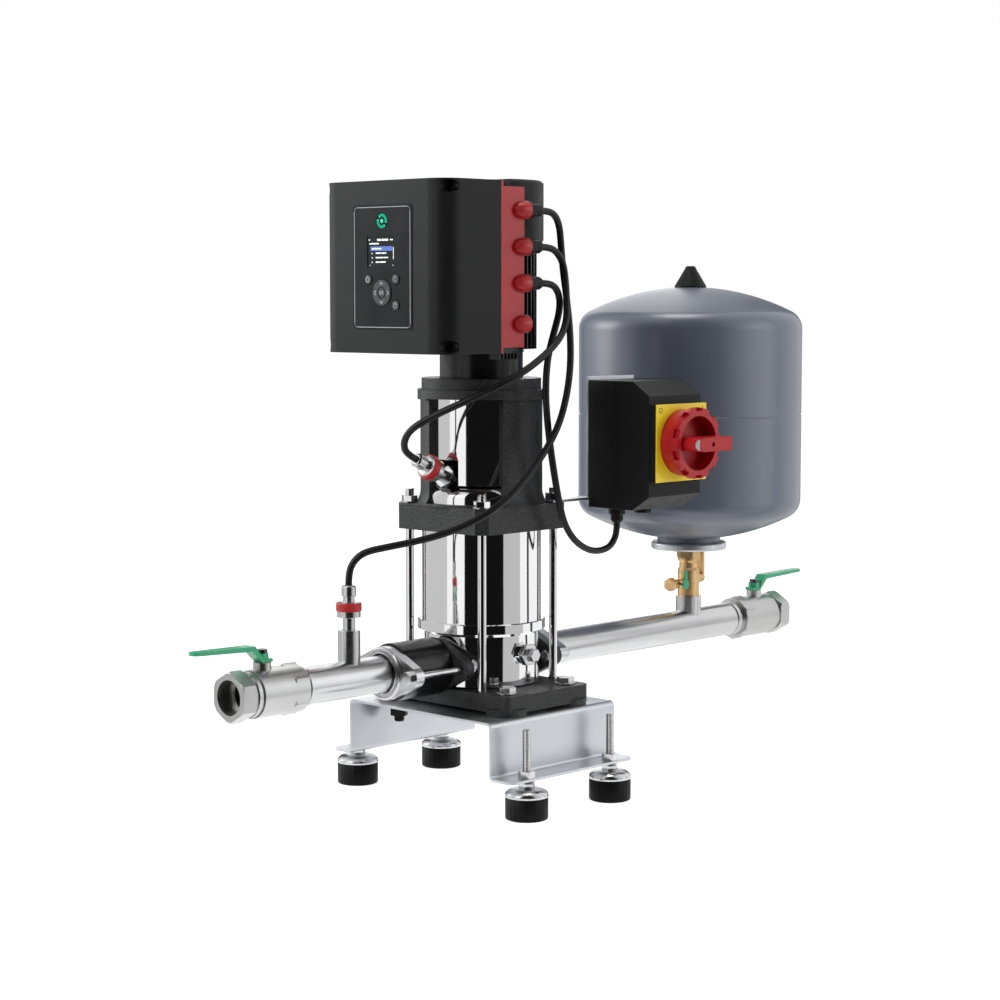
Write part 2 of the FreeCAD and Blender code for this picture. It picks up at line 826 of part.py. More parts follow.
def coupling_guards():
    """Curved sheets inside the two windows, with a corner left out beside the sensor."""
    outer = stool_radius - stool_wall
    start = window_centre - window_angle / 2 - guard_overlap
    end = window_centre + window_angle / 2 + guard_overlap
    low = flange_top + guard_rise
    high = flange_top + window_sill + window_height + guard_overlap
    ring = tube(outer, outer - guard_sheet, (0, 0, low), (0, 0, high))
    sheet_piece = ring.common(sector(outer * 1.5, start, end, low, high))
    notch = sector(outer * 1.5, start - 1, start + guard_notch_angle, low - 1, low + guard_notch_height)
    guard = sheet_piece.cut(notch)
    return [guard, spun(guard, 180)]


# Rotor

def pump_shaft():
    """Pump shaft, split coupling and motor shaft, which turn as one."""
    bottom = collar_top + shaft_bottom_gap
    coupling_low = flange_top + coupling_rise
    coupling_high = coupling_low + coupling_length
    top = motor_top + fan_rise + fan_height
    shaft = turned([(0, bottom), (shaft_radius, bottom), (shaft_radius, coupling_low),
                    (coupling_radius, coupling_low), (coupling_radius, coupling_high),
                    (motor_shaft_radius, coupling_high), (motor_shaft_radius, top), (0, top)])
    slot = block((-coupling_radius, coupling_radius), (-0.75, 0.75), (coupling_low - 1, coupling_high + 1))
    core = rod(motor_shaft_radius, (0, 0, coupling_low - 2), (0, 0, coupling_high + 2))
    return shaft.cut(slot.cut(core))


def motor_rotor():
    low = motor_base + stator_margin - winding_length / 2
    high = motor_top - stator_margin + winding_length / 2
    return tube(stator_bore - air_gap, motor_shaft_radius, (0, 0, low), (0, 0, high))


def cooling_fan():
    low = motor_top + fan_rise
    hub = tube(fan_hub_radius, motor_shaft_radius, (0, 0, low), (0, 0, low + fan_height - 4))
    half = blade_thickness / 2
    blade = block((fan_hub_radius - 1, fan_radius), (-half, half), (low, low + fan_height - 4))
    blades = [spun(blade, i * 360 / fan_blades) for i in range(fan_blades)]
    return joined(hub, *blades)


# Motor

def motor_frame():
    """Finned can with both bearing seats, and a comb of fins below the converter."""
    seat = bearing_radius
    can = turned([(seat, motor_seat - stool_top_plate / 2), (motor_spigot - running_fit, motor_seat - stool_top_plate / 2),
                  (motor_spigot - running_fit, motor_seat), (motor_neck_radius, motor_seat),
                  (motor_neck_radius, motor_base), (motor_radius, motor_base), (motor_radius, motor_top),
                  (seat, motor_top), (seat, motor_top - end_plate), (motor_bore, motor_top - end_plate),
                  (motor_bore, motor_seat + end_plate), (seat, motor_seat + end_plate)])
    half = fin_thickness / 2
    fin_top = motor_top - fan_cover_skirt - side_gap
    fin = block((motor_bore + 2, fin_radius), (-half, half), (motor_base + 4, fin_top))
    count = int(fin_limit / fin_step)
    fins = [spun(fin, i * fin_step) for i in range(-count, count + 1)]
    comb = []
    front = box_front - cover_depth - band_lip
    rear = front - band_depth + band_lip * 2
    bar_top = box_bottom + band_inset_z
    bar_end = box_width / 2 - comb_inset
    bar = block((-front, -rear), (-bar_end, bar_end), (box_bottom, bar_top))
    for i in range(comb_teeth):
        x = -front + i * comb_pitch
        comb.append(block((x, x + fin_thickness), (-bar_end, -bar_end + comb_run), (box_bottom - comb_drop, bar_top)))
    bore = rod(motor_bore, (0, 0, motor_seat + end_plate), (0, 0, motor_top - end_plate))
    return joined(can, bar, *fins, *comb).cut(bore)


def motor_stator():
    low = motor_base + stator_margin
    high = motor_top - stator_margin
    core = tube(motor_bore, stator_bore, (0, 0, low), (0, 0, high))
    lower = tube(winding_radius, winding_bore, (0, 0, low - winding_length), (0, 0, low))
    upper = tube(winding_radius, winding_bore, (0, 0, high), (0, 0, high + winding_length))
    return joined(core, lower, upper)


def shaft_bearings():
    """Two motor bearings and the shaft seal in the pump head."""
    bore = motor_shaft_radius + running_fit
    lower = tube(bearing_radius, bore, (0, 0, motor_seat), (0, 0, motor_seat + bearing_width))
    upper = tube(bearing_radius, bore, (0, 0, motor_top - bearing_width), (0, 0, motor_top))
    seal = tube(seal_radius, shaft_radius + running_fit, (0, 0, head_top - dome_wall),
                (0, 0, head_top + seal_housing_height))
    return [lower, upper, seal]


def fan_cover():
    """Hood with a flat side beside the converter, a tapered skirt and a slotted top."""
    low = motor_top - fan_cover_skirt
    top = motor_top + fan_cover_height
    skirt = fan_cover_radius - 7
    big = turned([(0, low), (skirt, low), (fan_cover_radius, low + 15), (fan_cover_radius, top - 3),
                  (fan_cover_radius - 3, top), (0, top)])
    inner_big = turned([(0, low - 1), (skirt - fan_cover_wall, low - 1), (skirt - fan_cover_wall, low),
                        (fan_cover_radius - fan_cover_wall, low + 15), (fan_cover_radius - fan_cover_wall, top - 3),
                        (0, top - 3)])
    reach = fan_cover_radius + 1
    behind = block((-fan_cover_flat, reach), (-reach, reach), (low - 2, top + 1))
    inner_behind = block((-fan_cover_flat + fan_cover_wall, reach), (-reach, reach), (low - 2, top + 1))
    round_part = rod(motor_radius, (0, 0, motor_top), (0, 0, top))
    inner_round = rod(motor_radius - fan_cover_wall, (0, 0, motor_top - 1), (0, 0, top - 3))
    core = rod(motor_radius, (0, 0, low - 1), (0, 0, motor_top))
    body = joined(big.common(behind), round_part).cut([inner_big.common(inner_behind), inner_round, core])
    slots = []
    pitch = fan_radius * 2 / (grille_slots + 1)
    for i in range(grille_slots):
        y = (i - (grille_slots - 1) / 2) * pitch
        half_chord = math.sqrt(fan_radius ** 2 - y ** 2)
        half_width = grille_slot_width / 2
        slots.append(block((-half_chord, half_chord), (y - half_width, y + half_width), (top - 4, top + 1)))
    return body.cut(slots)


# Frequency converter

def converter_band():
    """Converter base with a saddle for the motor and half-cone bosses for the cable glands."""
    front = -(box_front - cover_depth)
    rear = front + band_depth
    half = box_width / 2
    lip = block((front, front + band_lip), (-half, half), (box_bottom, box_top))
    inner = half - band_inset_y
    body = block((front, rear), (-inner, inner), (box_bottom + band_inset_z, box_top - band_inset_z))
    bosses = []
    for z in gland_heights + (blank_boss_height,):
        base = rear - boss_length
        bosses.append(turned([(0, 0), (boss_tip_radius, 0),
                              ((boss_radius * 0.72, boss_length * 0.5), (boss_radius, boss_length)),
                              (0, boss_length)], (base, -gland_y, z), (1, 0, 0)))
    saddle = rod(motor_radius + saddle_gap, (0, 0, box_bottom - 1), (0, 0, box_top + 1))
    pocket_low = box_bottom + band_inset_z + cover_wall
    pocket_high = box_top - band_inset_z - cover_wall
    side = motor_radius + band_web
    wall = inner - cover_wall
    pockets = [block((front - 1, rear - band_heat_sink), (low, high), (pocket_low, pocket_high))
               for low, high in ((side, wall), (-wall, -side))]
    return joined(lip, body, *bosses).cut([saddle] + pockets)


def converter_cover():
    """Deep hood with rounded upright corners, screw wells and a window for the panel."""
    front = -box_front
    rear = front + cover_depth
    half = box_width / 2
    hood = block((front, rear), (-half, half), (box_bottom, box_top))
    hood = rounded(hood, cover_corner, "Z", [(front, -half), (front, half)])
    room = block((front + cover_wall, rear + 1), (-half + cover_wall, half - cover_wall),
                 (box_bottom + cover_wall, box_top - cover_wall))
    room = rounded(room, cover_corner - cover_wall, "Z",
                   [(front + cover_wall, -half + cover_wall), (front + cover_wall, half - cover_wall)])
    wells = []
    posts = []
    for y in (-half + cover_screw_inset_y, half - cover_screw_inset_y):
        for z in (box_bottom + cover_screw_inset_z, box_top - cover_screw_inset_z):
            post = rod(cover_screw_radius + cover_wall, (front, y, z), (rear, y, z))
            posts.append(post.common(hood))
            wells.append(rod(cover_screw_radius, (front - 1, y, z), (front + cover_screw_depth, y, z)))
    y0, y1 = panel_y - panel_width / 2, panel_y + panel_width / 2
    z0, z1 = panel_z - panel_height / 2, panel_z + panel_height / 2
    opening = block((front - 1, front + cover_wall + 1), (y0, y1), (z0, z1))
    opening = rounded(opening, panel_corner, "X", [(y, z) for y in (y0, y1) for z in (z0, z1)])
    return joined(hood.cut(room), *posts).cut(wells + [opening])


def key_places():
    """Centre (y, z) of each round key on the panel."""
    return {
        "home_button": (panel_y + key_side_y, key_upper_z),
        "back_button": (panel_y - key_side_y, key_upper_z),
        "power_button": (panel_y - key_side_y, key_lower_z),
    }


def control_panel():
    """Panel in the hood's window, with recesses for the screen and the ring light."""
    face = -box_front - panel_proud
    back = face + panel_thickness
    y0, y1 = panel_y - panel_width / 2, panel_y + panel_width / 2
    z0, z1 = panel_z - panel_height / 2, panel_z + panel_height / 2
    plate = block((face, back), (y0, y1), (z0, z1))
    plate = rounded(plate, panel_corner, "X", [(y, z) for y in (y0, y1) for z in (z0, z1)])
    screen = block((face - 1, face + screen_depth), (panel_y - screen_width / 2, panel_y + screen_width / 2),
                   (screen_z - screen_height / 2, screen_z + screen_height / 2))
    light = tube(indicator_radius, indicator_radius * 0.62, (face - 1, panel_y, indicator_z),
                 (face + screen_depth, panel_y, indicator_z))
    holes = [screen, light]
    for y, z in key_places().values():
        holes.append(rod(key_radius + side_gap, (face - 1, y, z), (back + 1, y, z)))
    holes.append(rod(ring_outer + side_gap, (face - 1, panel_y, ring_z), (back + 1, panel_y, ring_z)))
    return plate.cut(holes)


def round_key(y, z):
    face = -box_front - panel_proud - key_proud
    return turned([(0, 0), (key_radius - 0.8, 0), (key_radius, 0.8), (key_radius, key_length), (0, key_length)],
                  (face, y, z), (1, 0, 0))


def navigation_ring():
    face = -box_front - panel_proud - key_proud
    return turned([(ring_inner, 0), (ring_outer - 0.8, 0), (ring_outer, 0.8), (ring_outer, key_length),
                   (ring_inner, key_length)], (face, panel_y, ring_z), (1, 0, 0))


def ok_key():
    face = -box_front - panel_proud - key_proud
    return turned([(0, 0), (ok_radius - 0.8, 0), (ok_radius, 0.8), (ok_radius, key_length), (0, key_length)],
                  (face, panel_y, ring_z), (1, 0, 0))


def gland(start, axis, dome_length):
    """Hexagon and dome nut of a cable gland, along an axis."""
    first = vec(*start).add(vec(*axis) * gland_hex_length)
    body = hexagon(gland_hex, start, tuple(first))
    dome = turned([(0, 0), (gland_dome_radius, 0), (gland_dome_radius, dome_length * 0.7),
                   (cable_radius + 1.2, dome_length), (0, dome_length)], tuple(first), axis)
    return joined(body, dome)


def cable_glands():
    """Three glands on the converter, and the gland and blanking plug of the switch."""
    rear = -(box_front - cover_depth) + band_depth
    pieces = [gland((rear, -gland_y, z), (1, 0, 0), gland_dome_length) for z in gland_heights]
    pieces.append(gland((switch_gland_x, -switch_gland_y, switch_bottom), (0, 0, -1), switch_gland_dome_length))
    pieces.append(hexagon(gland_hex, (switch_blank_x, -switch_blank_y, switch_bottom - gland_hex_length),
                          (switch_blank_x, -switch_blank_y, switch_bottom)))
    return pieces


# Sensors

def sensor_body(seat, axis):
    """Pressure sensor: neck, collar, core below the coloured ring, top and cable nut."""
    heights = [0, sensor_neck, sensor_collar, sensor_ring, sensor_top, sensor_nut]
    h = [sum(heights[:i + 1]) for i in range(len(heights))]
    core = sensor_top_radius
    return turned([(0, h[0]), (sensor_neck_radius, h[0]), (sensor_neck_radius, h[1]), (sensor_collar_radius, h[1]),
                   (sensor_collar_radius, h[2]), (core, h[2]), (core, h[4]), (sensor_nut_radius, h[4]),
                   (sensor_nut_radius, h[5] - 2), (core, h[5]), (0, h[5])], seat, axis)


def sensor_colour_ring(seat, axis):
    low = sensor_neck + sensor_collar
    high = low + sensor_ring
    return turned([(sensor_top_radius, low), (sensor_ring_radius, low), (sensor_ring_radius, high - 1),
                   (sensor_ring_radius - 1, high), (sensor_top_radius, high)], seat, axis)


def sensor_seats():
    """Seat and axis of the suction sensor and of the sensor in the pump head."""
    away = sensor_axis()
    head_seat = vec(*head_sensor_seat).add(away * adapter_length)
    return [((-sensor_stub_x, 0, port_z + sensor_stub_height), (0, 0, 1)), (tuple(head_seat), tuple(away))]


def sensor_adapter():
    end = vec(*head_sensor_seat).add(sensor_axis() * adapter_length)
    return hexagon(adapter_hex, head_sensor_seat, tuple(end))


# Pipework

def suction_pipe():
    """Pipe from the inlet valve to the check valve, with its flange and the sensor's stub."""
    start = -inlet_valve_end - pipe_spigot
    inner = pipe_radius - pipe_wall
    spigot = rod(valve_thread_radius, (start, 0, port_z), (-inlet_valve_end, 0, port_z))
    pipe = rod(pipe_radius, (-inlet_valve_end, 0, port_z), (-check_face, 0, port_z))
    weld = rod(pipe_radius + weld_ring, (-inlet_valve_end + 6, 0, port_z), (-inlet_valve_end + 6 + weld_ring_length, 0, port_z))
    collar = rod(pipe_radius + 4, (-suction_flange_face - 4, 0, port_z), (-suction_flange_face, 0, port_z))
    flange = oval_plate(-suction_flange_face, -check_face, inner)
    stub = rod(sensor_stub_radius, (-sensor_stub_x, 0, port_z), (-sensor_stub_x, 0, port_z + sensor_stub_height))
    hollow = rod(inner, (-inlet_valve_end, 0, port_z), (-check_face + 1, 0, port_z))
    spigot_bore = rod(valve_bore, (start - 1, 0, port_z), (-inlet_valve_end + 1, 0, port_z))
    tap = rod(sensor_neck_radius - 2, (-sensor_stub_x, 0, port_z), (-sensor_stub_x, 0, port_z + sensor_stub_height + 1))
    return joined(spigot, pipe, weld, collar, flange, stub).cut([hollow, spigot_bore, tap])


def discharge_pipe():
    """Pipe from the pump to the outlet valve, with its flange and the tank's stub."""
    inner = pipe_radius - pipe_wall
    end = outlet_valve_end + pipe_spigot
    pipe = rod(pipe_radius, (port_face, 0, port_z), (outlet_valve_end, 0, port_z))
    spigot = rod(valve_thread_radius, (outlet_valve_end, 0, port_z), (end, 0, port_z))
    weld = rod(pipe_radius + weld_ring, (outlet_valve_end - 6 - weld_ring_length, 0, port_z), (outlet_valve_end - 6, 0, port_z))
    flange = oval_plate(port_face, discharge_flange_face, inner)
    stub = rod(tank_stub_radius, (tank_x, 0, port_z), (tank_x, 0, tank_valve_bottom))
    hollow = rod(inner, (port_face - 1, 0, port_z), (outlet_valve_end, 0, port_z))
    spigot_bore = rod(valve_bore, (outlet_valve_end - 1, 0, port_z), (end + 1, 0, port_z))
    tap = rod(tank_valve_bore, (tank_x, 0, port_z), (tank_x, 0, tank_valve_bottom + 1))
    return joined(pipe, spigot, weld, flange, stub).cut([hollow, spigot_bore, tap])


def flange_bolts():
    """Long bolts over the check valve, and short ones on the outlet side."""
    pieces = []
    nut_face = port_face - oval_thickness
    for y in (-oval_bolt_offset, oval_bolt_offset):
        long_start = -suction_flange_face - oval_bolt_head
        long_end = -nut_face + oval_nut + oval_bolt_end
        pieces.append(joined(
            rod(oval_bolt_radius, (long_start, y, port_z), (long_end, y, port_z)),
            hexagon(oval_bolt_hex, (long_start, y, port_z), (-suction_flange_face, y, port_z)),
            hexagon(oval_bolt_hex, (-nut_face, y, port_z), (-nut_face + oval_nut, y, port_z))))
        short_start = nut_face - oval_bolt_head
        short_end = discharge_flange_face + oval_nut + oval_bolt_end
        pieces.append(joined(
            rod(oval_bolt_radius, (short_start, y, port_z), (short_end, y, port_z)),
            hexagon(oval_bolt_hex, (short_start, y, port_z), (nut_face, y, port_z)),
            hexagon(oval_bolt_hex, (discharge_flange_face, y, port_z), (discharge_flange_face + oval_nut, y, port_z))))
    return pieces


def check_valve_housing():
    """Round housing with a seat at its inlet end and a spider that guides the poppet."""
    low = -check_face
    high = -port_face
    cavity_low = low + check_end_wall
    cavity_high = high - check_end_wall
    body = turned([(0, 0), (check_radius, 0), (check_radius, check_length), (0, check_length)], (low, 0, port_z), (1, 0, 0))
    cavity = rod(check_cavity_radius, (cavity_low, 0, port_z), (cavity_high, 0, port_z))
    bores = rod(check_bore, (low - 1, 0, port_z), (high + 1, 0, port_z))
    guide = rod(spider_radius, (cavity_high - spider_arm, 0, port_z), (cavity_high + spider_arm, 0, port_z))
    arms = []
    half = spider_arm / 2
    for angle in (0, 120, 240):
        arm = block((cavity_high, cavity_high + spider_arm), (-half, half), (port_z, port_z + check_bore + 1))
        arm.rotate(vec(0, 0, port_z), vec(1, 0, 0), angle)
        arms.append(arm)
    stem_bore = rod(poppet_stem_radius + running_fit, (cavity_low, 0, port_z), (high + 1, 0, port_z))
    return joined(body.cut([cavity, bores]), guide, *arms).cut(stem_bore)


def check_poppet():
    """Disc that rests on the seat, on a stem that runs in the spider."""
    seat = -check_face + check_end_wall
    disc = rod(poppet_radius, (seat, 0, port_z), (seat + poppet_thickness, 0, port_z))
    stem_end = -port_face - check_end_wall + spider_arm
    stem = rod(poppet_stem_radius, (seat, 0, port_z), (stem_end, 0, port_z))
    return joined(disc, stem)


def ball_valve_body():
    """Ball valve of the outlet side, from the pipe outwards, with the end nut outside."""
    start = outlet_valve_end
    end = start + valve_length
    stem_x = start + valve_stem_position
    outer_hex = end - valve_outer_hex_length
    ring_end = outer_hex - valve_groove
    ring_start = ring_end - valve_ring
    groove_start = ring_start - valve_groove / 2
    barrel = turned([(0, 0), (valve_radius, 0), (valve_radius, groove_start - start), (valve_groove_radius, groove_start - start),
                     (valve_groove_radius, ring_start - start), (valve_ring_radius, ring_start - start),
                     (valve_ring_radius, ring_end - start), (valve_groove_radius, ring_end - start),
                     (valve_groove_radius, outer_hex - start), (0, outer_hex - start)], (start, 0, port_z), (1, 0, 0))
    chamfer = turned([(0, 0), (valve_hex * 0.53, 0), (valve_hex * 0.6, 3), (valve_hex * 0.6, valve_outer_hex_length - 3),
                      (valve_hex * 0.53, valve_outer_hex_length), (0, valve_outer_hex_length)], (outer_hex, 0, port_z), (1, 0, 0))
    nut = hexagon(valve_hex, (outer_hex, 0, port_z), (end, 0, port_z)).common(chamfer)
    inner_nut = hexagon(valve_hex, (start, 0, port_z), (start + valve_inner_hex_length, 0, port_z))
    boss = rod(valve_boss_radius, (stem_x, 0, port_z), (stem_x, 0, port_z + valve_boss_rise))
    ball_room = Part.makeSphere(valve_ball_radius + running_fit, vec(stem_x, 0, port_z))
    holes = [
        ball_room,
        rod(valve_bore, (start - 1, 0, port_z), (end + 1, 0, port_z)),
        rod(valve_thread_radius, (start - 1, 0, port_z), (start + pipe_spigot, 0, port_z)),
        rod(valve_thread_radius, (end - valve_thread_depth, 0, port_z), (end + 1, 0, port_z)),
        rod(valve_stem_radius + running_fit, (stem_x, 0, port_z), (stem_x, 0, port_z + valve_boss_rise + 1)),
    ]
    return joined(barrel, nut, inner_nut, boss).cut(holes)


def valve_ball():
    """Bored ball with its stem, in the outlet valve."""
    x = outlet_valve_end + valve_stem_position
    ball = Part.makeSphere(valve_ball_radius, vec(x, 0, port_z))
    bore = rod(valve_bore, (x - valve_ball_radius, 0, port_z), (x + valve_ball_radius, 0, port_z))
    stem = rod(valve_stem_radius, (x, 0, port_z + valve_bore + 2), (x, 0, port_z + stem_length))
    return joined(ball.cut(bore), stem)


def valve_lever():
    """Bent flat lever with its hub on the stem and the nut above it, in the outlet valve."""
    x = outlet_valve_end + valve_stem_position
    low = port_z + valve_boss_rise + side_gap
    high = low + lever_thickness
    t = lever_thickness
    shape = prism([(x - lever_hub, low), (x + lever_hub * 0.6, low), (x + lever_elbow, low + lever_rise - t),
                   (x + lever_reach, low + lever_rise), (x + lever_reach, high + lever_rise),
                   (x + lever_elbow - t, high + lever_rise - t * 0.4), (x + lever_hub * 0.3, high), (x - lever_hub, high)],
                  "Y", -lever_width / 2, lever_width / 2)
    shape = rounded(shape, lever_width / 2 - 0.5, "Z", [(x + lever_reach, side * lever_width / 2) for side in (-1, 1)])
    nut = hexagon(lever_nut_hex, (x, 0, high), (x, 0, high + lever_nut_height))
    bore = rod(valve_stem_radius, (x, 0, low - 1), (x, 0, high + lever_nut_height + 1))
    head_room = rod(lever_hub, (x, 0, high), (x, 0, high + lever_rise * 2))
    return joined(shape.cut(head_room), nut).cut(bore)


def to_inlet(shape):
    """The outlet valve's piece, mirrored and moved to the inlet."""
    copy = mirrored_x(shape)
    copy.translate(vec(outlet_valve_end - inlet_valve_end, 0, 0))
    return copy


# Tank

def dome_points(radius, crown, knuckle, apex, direction):
    """Arc points of a torispherical head from the axis down to the straight wall."""
    crown_z = apex - direction * crown
    knuckle_r = radius - knuckle
    knuckle_z = crown_z + direction * math.sqrt((crown - knuckle) ** 2 - knuckle_r ** 2)
    angle = math.asin(knuckle_r / (crown - knuckle))
    join = (crown * math.sin(angle), crown_z + direction * crown * math.cos(angle))
    crown_middle = (crown * math.sin(angle / 2), crown_z + direction * crown * math.cos(angle / 2))
    turn = (math.pi / 2 + angle) / 2
    knuckle_middle = (knuckle_r + knuckle * math.sin(turn), knuckle_z + direction * knuckle * math.cos(turn))
    return (0, apex), (crown_middle, join), (knuckle_middle, (radius, knuckle_z))


def tank_shell(apex, direction):
    """Half of the tank's shell, from its head to the seam at mid height."""
    seam = tank_middle + direction * tank_seam_gap / 2
    neck = seam + direction * tank_seam_gap
    outer = dome_points(tank_radius, tank_crown, tank_knuckle, apex, direction)
    inner_r = tank_radius - tank_sheet
    inner_apex = apex - direction * tank_sheet
    inner = dome_points(inner_r, tank_crown - tank_sheet, tank_knuckle - tank_sheet, inner_apex, direction)
    outside = turned(list(outer) + [(tank_radius, neck), (tank_radius - tank_seam_depth, seam),
                                    (tank_radius - tank_seam_depth, tank_middle), (0, tank_middle)], (tank_x, 0, 0))
    inside = turned(list(inner) + [(inner_r, tank_middle - direction), (0, tank_middle - direction)], (tank_x, 0, 0))
    return outside.cut(inside)


def tank_shells():
    """Upper half with the air valve, and lower half with the water neck."""
    upper = tank_shell(tank_top, 1)
    lower = tank_shell(tank_bottom, -1)
    valve = rod(air_valve_radius, (tank_x, 0, tank_top - tank_sheet), (tank_x, 0, tank_top + air_valve_height))
    low = tank_bottom - tank_neck_height
    neck = rod(tank_neck_radius, (tank_x, 0, low), (tank_x, 0, tank_bottom + 3))
    inside = dome_points(tank_radius - tank_sheet, tank_crown - tank_sheet, tank_knuckle - tank_sheet,
                         tank_bottom + tank_sheet, -1)
    room = turned(list(inside) + [(0, inside[2][1][1])], (tank_x, 0, 0))
    water_way = rod(tank_nipple_bore, (tank_x, 0, low - 1), (tank_x, 0, tank_bottom + 10))
    return [joined(upper, valve), joined(lower, neck.cut(room)).cut(water_way)]


def tank_diaphragm():
    """Rubber membrane clamped at the seam, hanging into the water side."""
    outer = tank_radius - tank_sheet
    inner = outer - diaphragm_sheet
    top = tank_middle + diaphragm_clamp / 2
    bottom = tank_middle - diaphragm_clamp / 2 - diaphragm_drop
    outside = dome_points(outer, diaphragm_crown, diaphragm_knuckle, bottom, -1)
    inside = dome_points(inner, diaphragm_crown - diaphragm_sheet, diaphragm_knuckle - diaphragm_sheet,
                         bottom + diaphragm_sheet, -1)
    skin = turned(list(outside) + [(outer, top), (0, top)], (tank_x, 0, 0))
    return skin.cut(turned(list(inside) + [(inner, top + 1), (0, top + 1)], (tank_x, 0, 0)))


def tank_cap():
    """Hollow cone over the air valve, resting on the upper head."""
    drop = tank_crown - math.sqrt(tank_crown ** 2 - cap_base_radius ** 2)
    base = tank_top - drop
    top = tank_top + cap_height
    cone = turned([(0, base), (cap_base_radius, base), (cap_base_radius, base + 2), (cap_top_radius, top - 3),
                   ((cap_top_radius * 0.85, top - 0.9), (cap_top_radius * 0.5, top)), (0, top)], (tank_x, 0, 0))
    hollow = turned([(0, base - 1), (cap_base_radius - cap_wall, base - 1), (cap_base_radius - cap_wall, base + 1),
                     (cap_top_radius - cap_wall, top - 5), (0, top - 5)], (tank_x, 0, 0))
    head = Part.makeSphere(tank_crown, vec(tank_x, 0, tank_top - tank_crown))
    return cone.cut([hollow, head])


def tank_flange():
    """Zinc-plated counter flange with the nipple that screws into the tank valve."""
    top = tank_bottom - tank_neck_height
    low = top - tank_flange_thickness
    ring = turned([(0, low), (tank_flange_radius - 1.5, low), (tank_flange_radius, low + 1.5),
                   (tank_flange_radius, top - 2), (tank_flange_radius - 2, top), (0, top)], (tank_x, 0, 0))
    nipple = rod(tank_nipple_radius, (tank_x, 0, low - tank_nipple_length), (tank_x, 0, low))
    bore = rod(tank_nipple_bore, (tank_x, 0, low - tank_nipple_length - 1), (tank_x, 0, top + 1))
    return joined(ring, nipple).cut(bore)


def tank_valve_top():
    return tank_bottom - tank_neck_height - tank_flange_thickness


def tank_valve_body():
    """Brass valve between the tank and the pipe, with a boss for its lever and a drain branch."""
    low = tank_valve_bottom
    top = tank_valve_top()
    hex_low = top - tank_valve_hex_height
    ball_z = low + tank_valve_ball_rise
    drain_z = low + drain_rise
    waist = tank_valve_waist
    body = turned([(0, low), (tank_valve_radius, low), (tank_valve_radius, ball_z + 12), (waist, ball_z + 15),
                   (waist, hex_low - 6), (tank_valve_radius, hex_low - 3), (tank_valve_radius, hex_low), (0, hex_low)],
                  (tank_x, 0, 0))
    nut = hexagon(tank_valve_hex, (tank_x, 0, hex_low), (tank_x, 0, top))
    stem_boss = rod(tank_stem_radius * 2, (tank_x, 0, ball_z), (tank_x + tank_valve_radius + 4, 0, ball_z))
    branch = rod(drain_radius, (tank_x, 0, drain_z), (tank_x - drain_reach + drain_cap_length, 0, drain_z))
    cap = hexagon(drain_cap_radius * 2, (tank_x - drain_reach, 0, drain_z), (tank_x - drain_reach + drain_cap_length, 0, drain_z))
    cock_x = tank_x - drain_cock_offset
    cock = rod(drain_radius * 0.9, (cock_x, 0, drain_z), (cock_x, -drain_radius - 4, drain_z))
    holes = [
        Part.makeSphere(tank_valve_ball + running_fit, vec(tank_x, 0, ball_z)),
        rod(tank_valve_bore, (tank_x, 0, low - 1), (tank_x, 0, top + 1)),
        rod(tank_nipple_radius, (tank_x, 0, top - tank_nipple_length), (tank_x, 0, top + 1)),
        rod(tank_stem_radius + running_fit, (tank_x, 0, ball_z), (tank_x + tank_valve_radius + 5, 0, ball_z)),
        rod(drain_pin_radius + running_fit, (cock_x, -1, drain_z), (cock_x, -drain_radius - 5, drain_z)),
    ]
    return joined(body, nut, stem_boss, branch, cap, cock).cut(holes)


def tank_valve_lever():
    """Ball, stem and brass lever of the tank valve."""
    z = tank_valve_bottom + tank_valve_ball_rise
    ball = Part.makeSphere(tank_valve_ball, vec(tank_x, 0, z))
    bore = rod(tank_valve_bore, (tank_x, 0, z - tank_valve_ball), (tank_x, 0, z + tank_valve_ball))
    reach = tank_x + tank_stem_reach
    stem = rod(tank_stem_radius, (tank_x + tank_valve_bore + 1, 0, z), (reach, 0, z))
    low_x = tank_x + tank_valve_radius + 4 + side_gap
    half = tank_lever_width / 2
    plate = block((reach - tank_lever_thickness, reach), (-half, half), (z, z + tank_lever_length))
    plate = rounded(plate, half - 0.5, "X", [(-half, z + tank_lever_length), (half, z + tank_lever_length)])
    hub = rod(half + 0.5, (low_x, 0, z), (reach, 0, z))
    return joined(ball.cut(bore), stem, plate, hub)


def drain_lever():
    x = tank_x - drain_cock_offset
    z = tank_valve_bottom + drain_rise
    front = -drain_radius - 4 - side_gap
    half = 2.5
    arm = block((x - half, x + half), (front - 3, front), (z, z + drain_lever_length))
    arm = rounded(arm, half - 0.2, "Y", [(x - half, z + drain_lever_length), (x + half, z + drain_lever_length)])
    hub = rod(drain_radius, (x, front - 3, z), (x, front, z))
    pin = rod(drain_pin_radius, (x, front, z), (x, -2, z))
    return joined(arm, hub, pin)


# Isolating switch

def switch_bracket():
    """Arm under the nut of one tie rod, and the upright plate behind the switch."""
    far = switch_left + switch_width - switch_back_inset
    back = -switch_back
    top = flange_top + sheet
    arm = block((switch_arm_start, far), (back, back + switch_arm_width), (flange_top, top))
    plate = block((switch_left, far), (back, back + sheet), (flange_top, switch_bottom + switch_height + switch_back_over))
    x, y = rod_pitch / 2, -rod_pitch / 2
    hole = rod(rod_radius + running_fit, (x, y, flange_top - 1), (x, y, top + 1))
    beside_nut = rod(rod_nut_hex * 0.65 - side_gap, (x, y, flange_top - 1), (x, y, top + 1))
    column = rod(stool_radius + stool_flare + side_gap, (0, 0, flange_top - 1), (0, 0, top + 1))
    return joined(arm, plate).cut([hole, column.cut(beside_nut)])


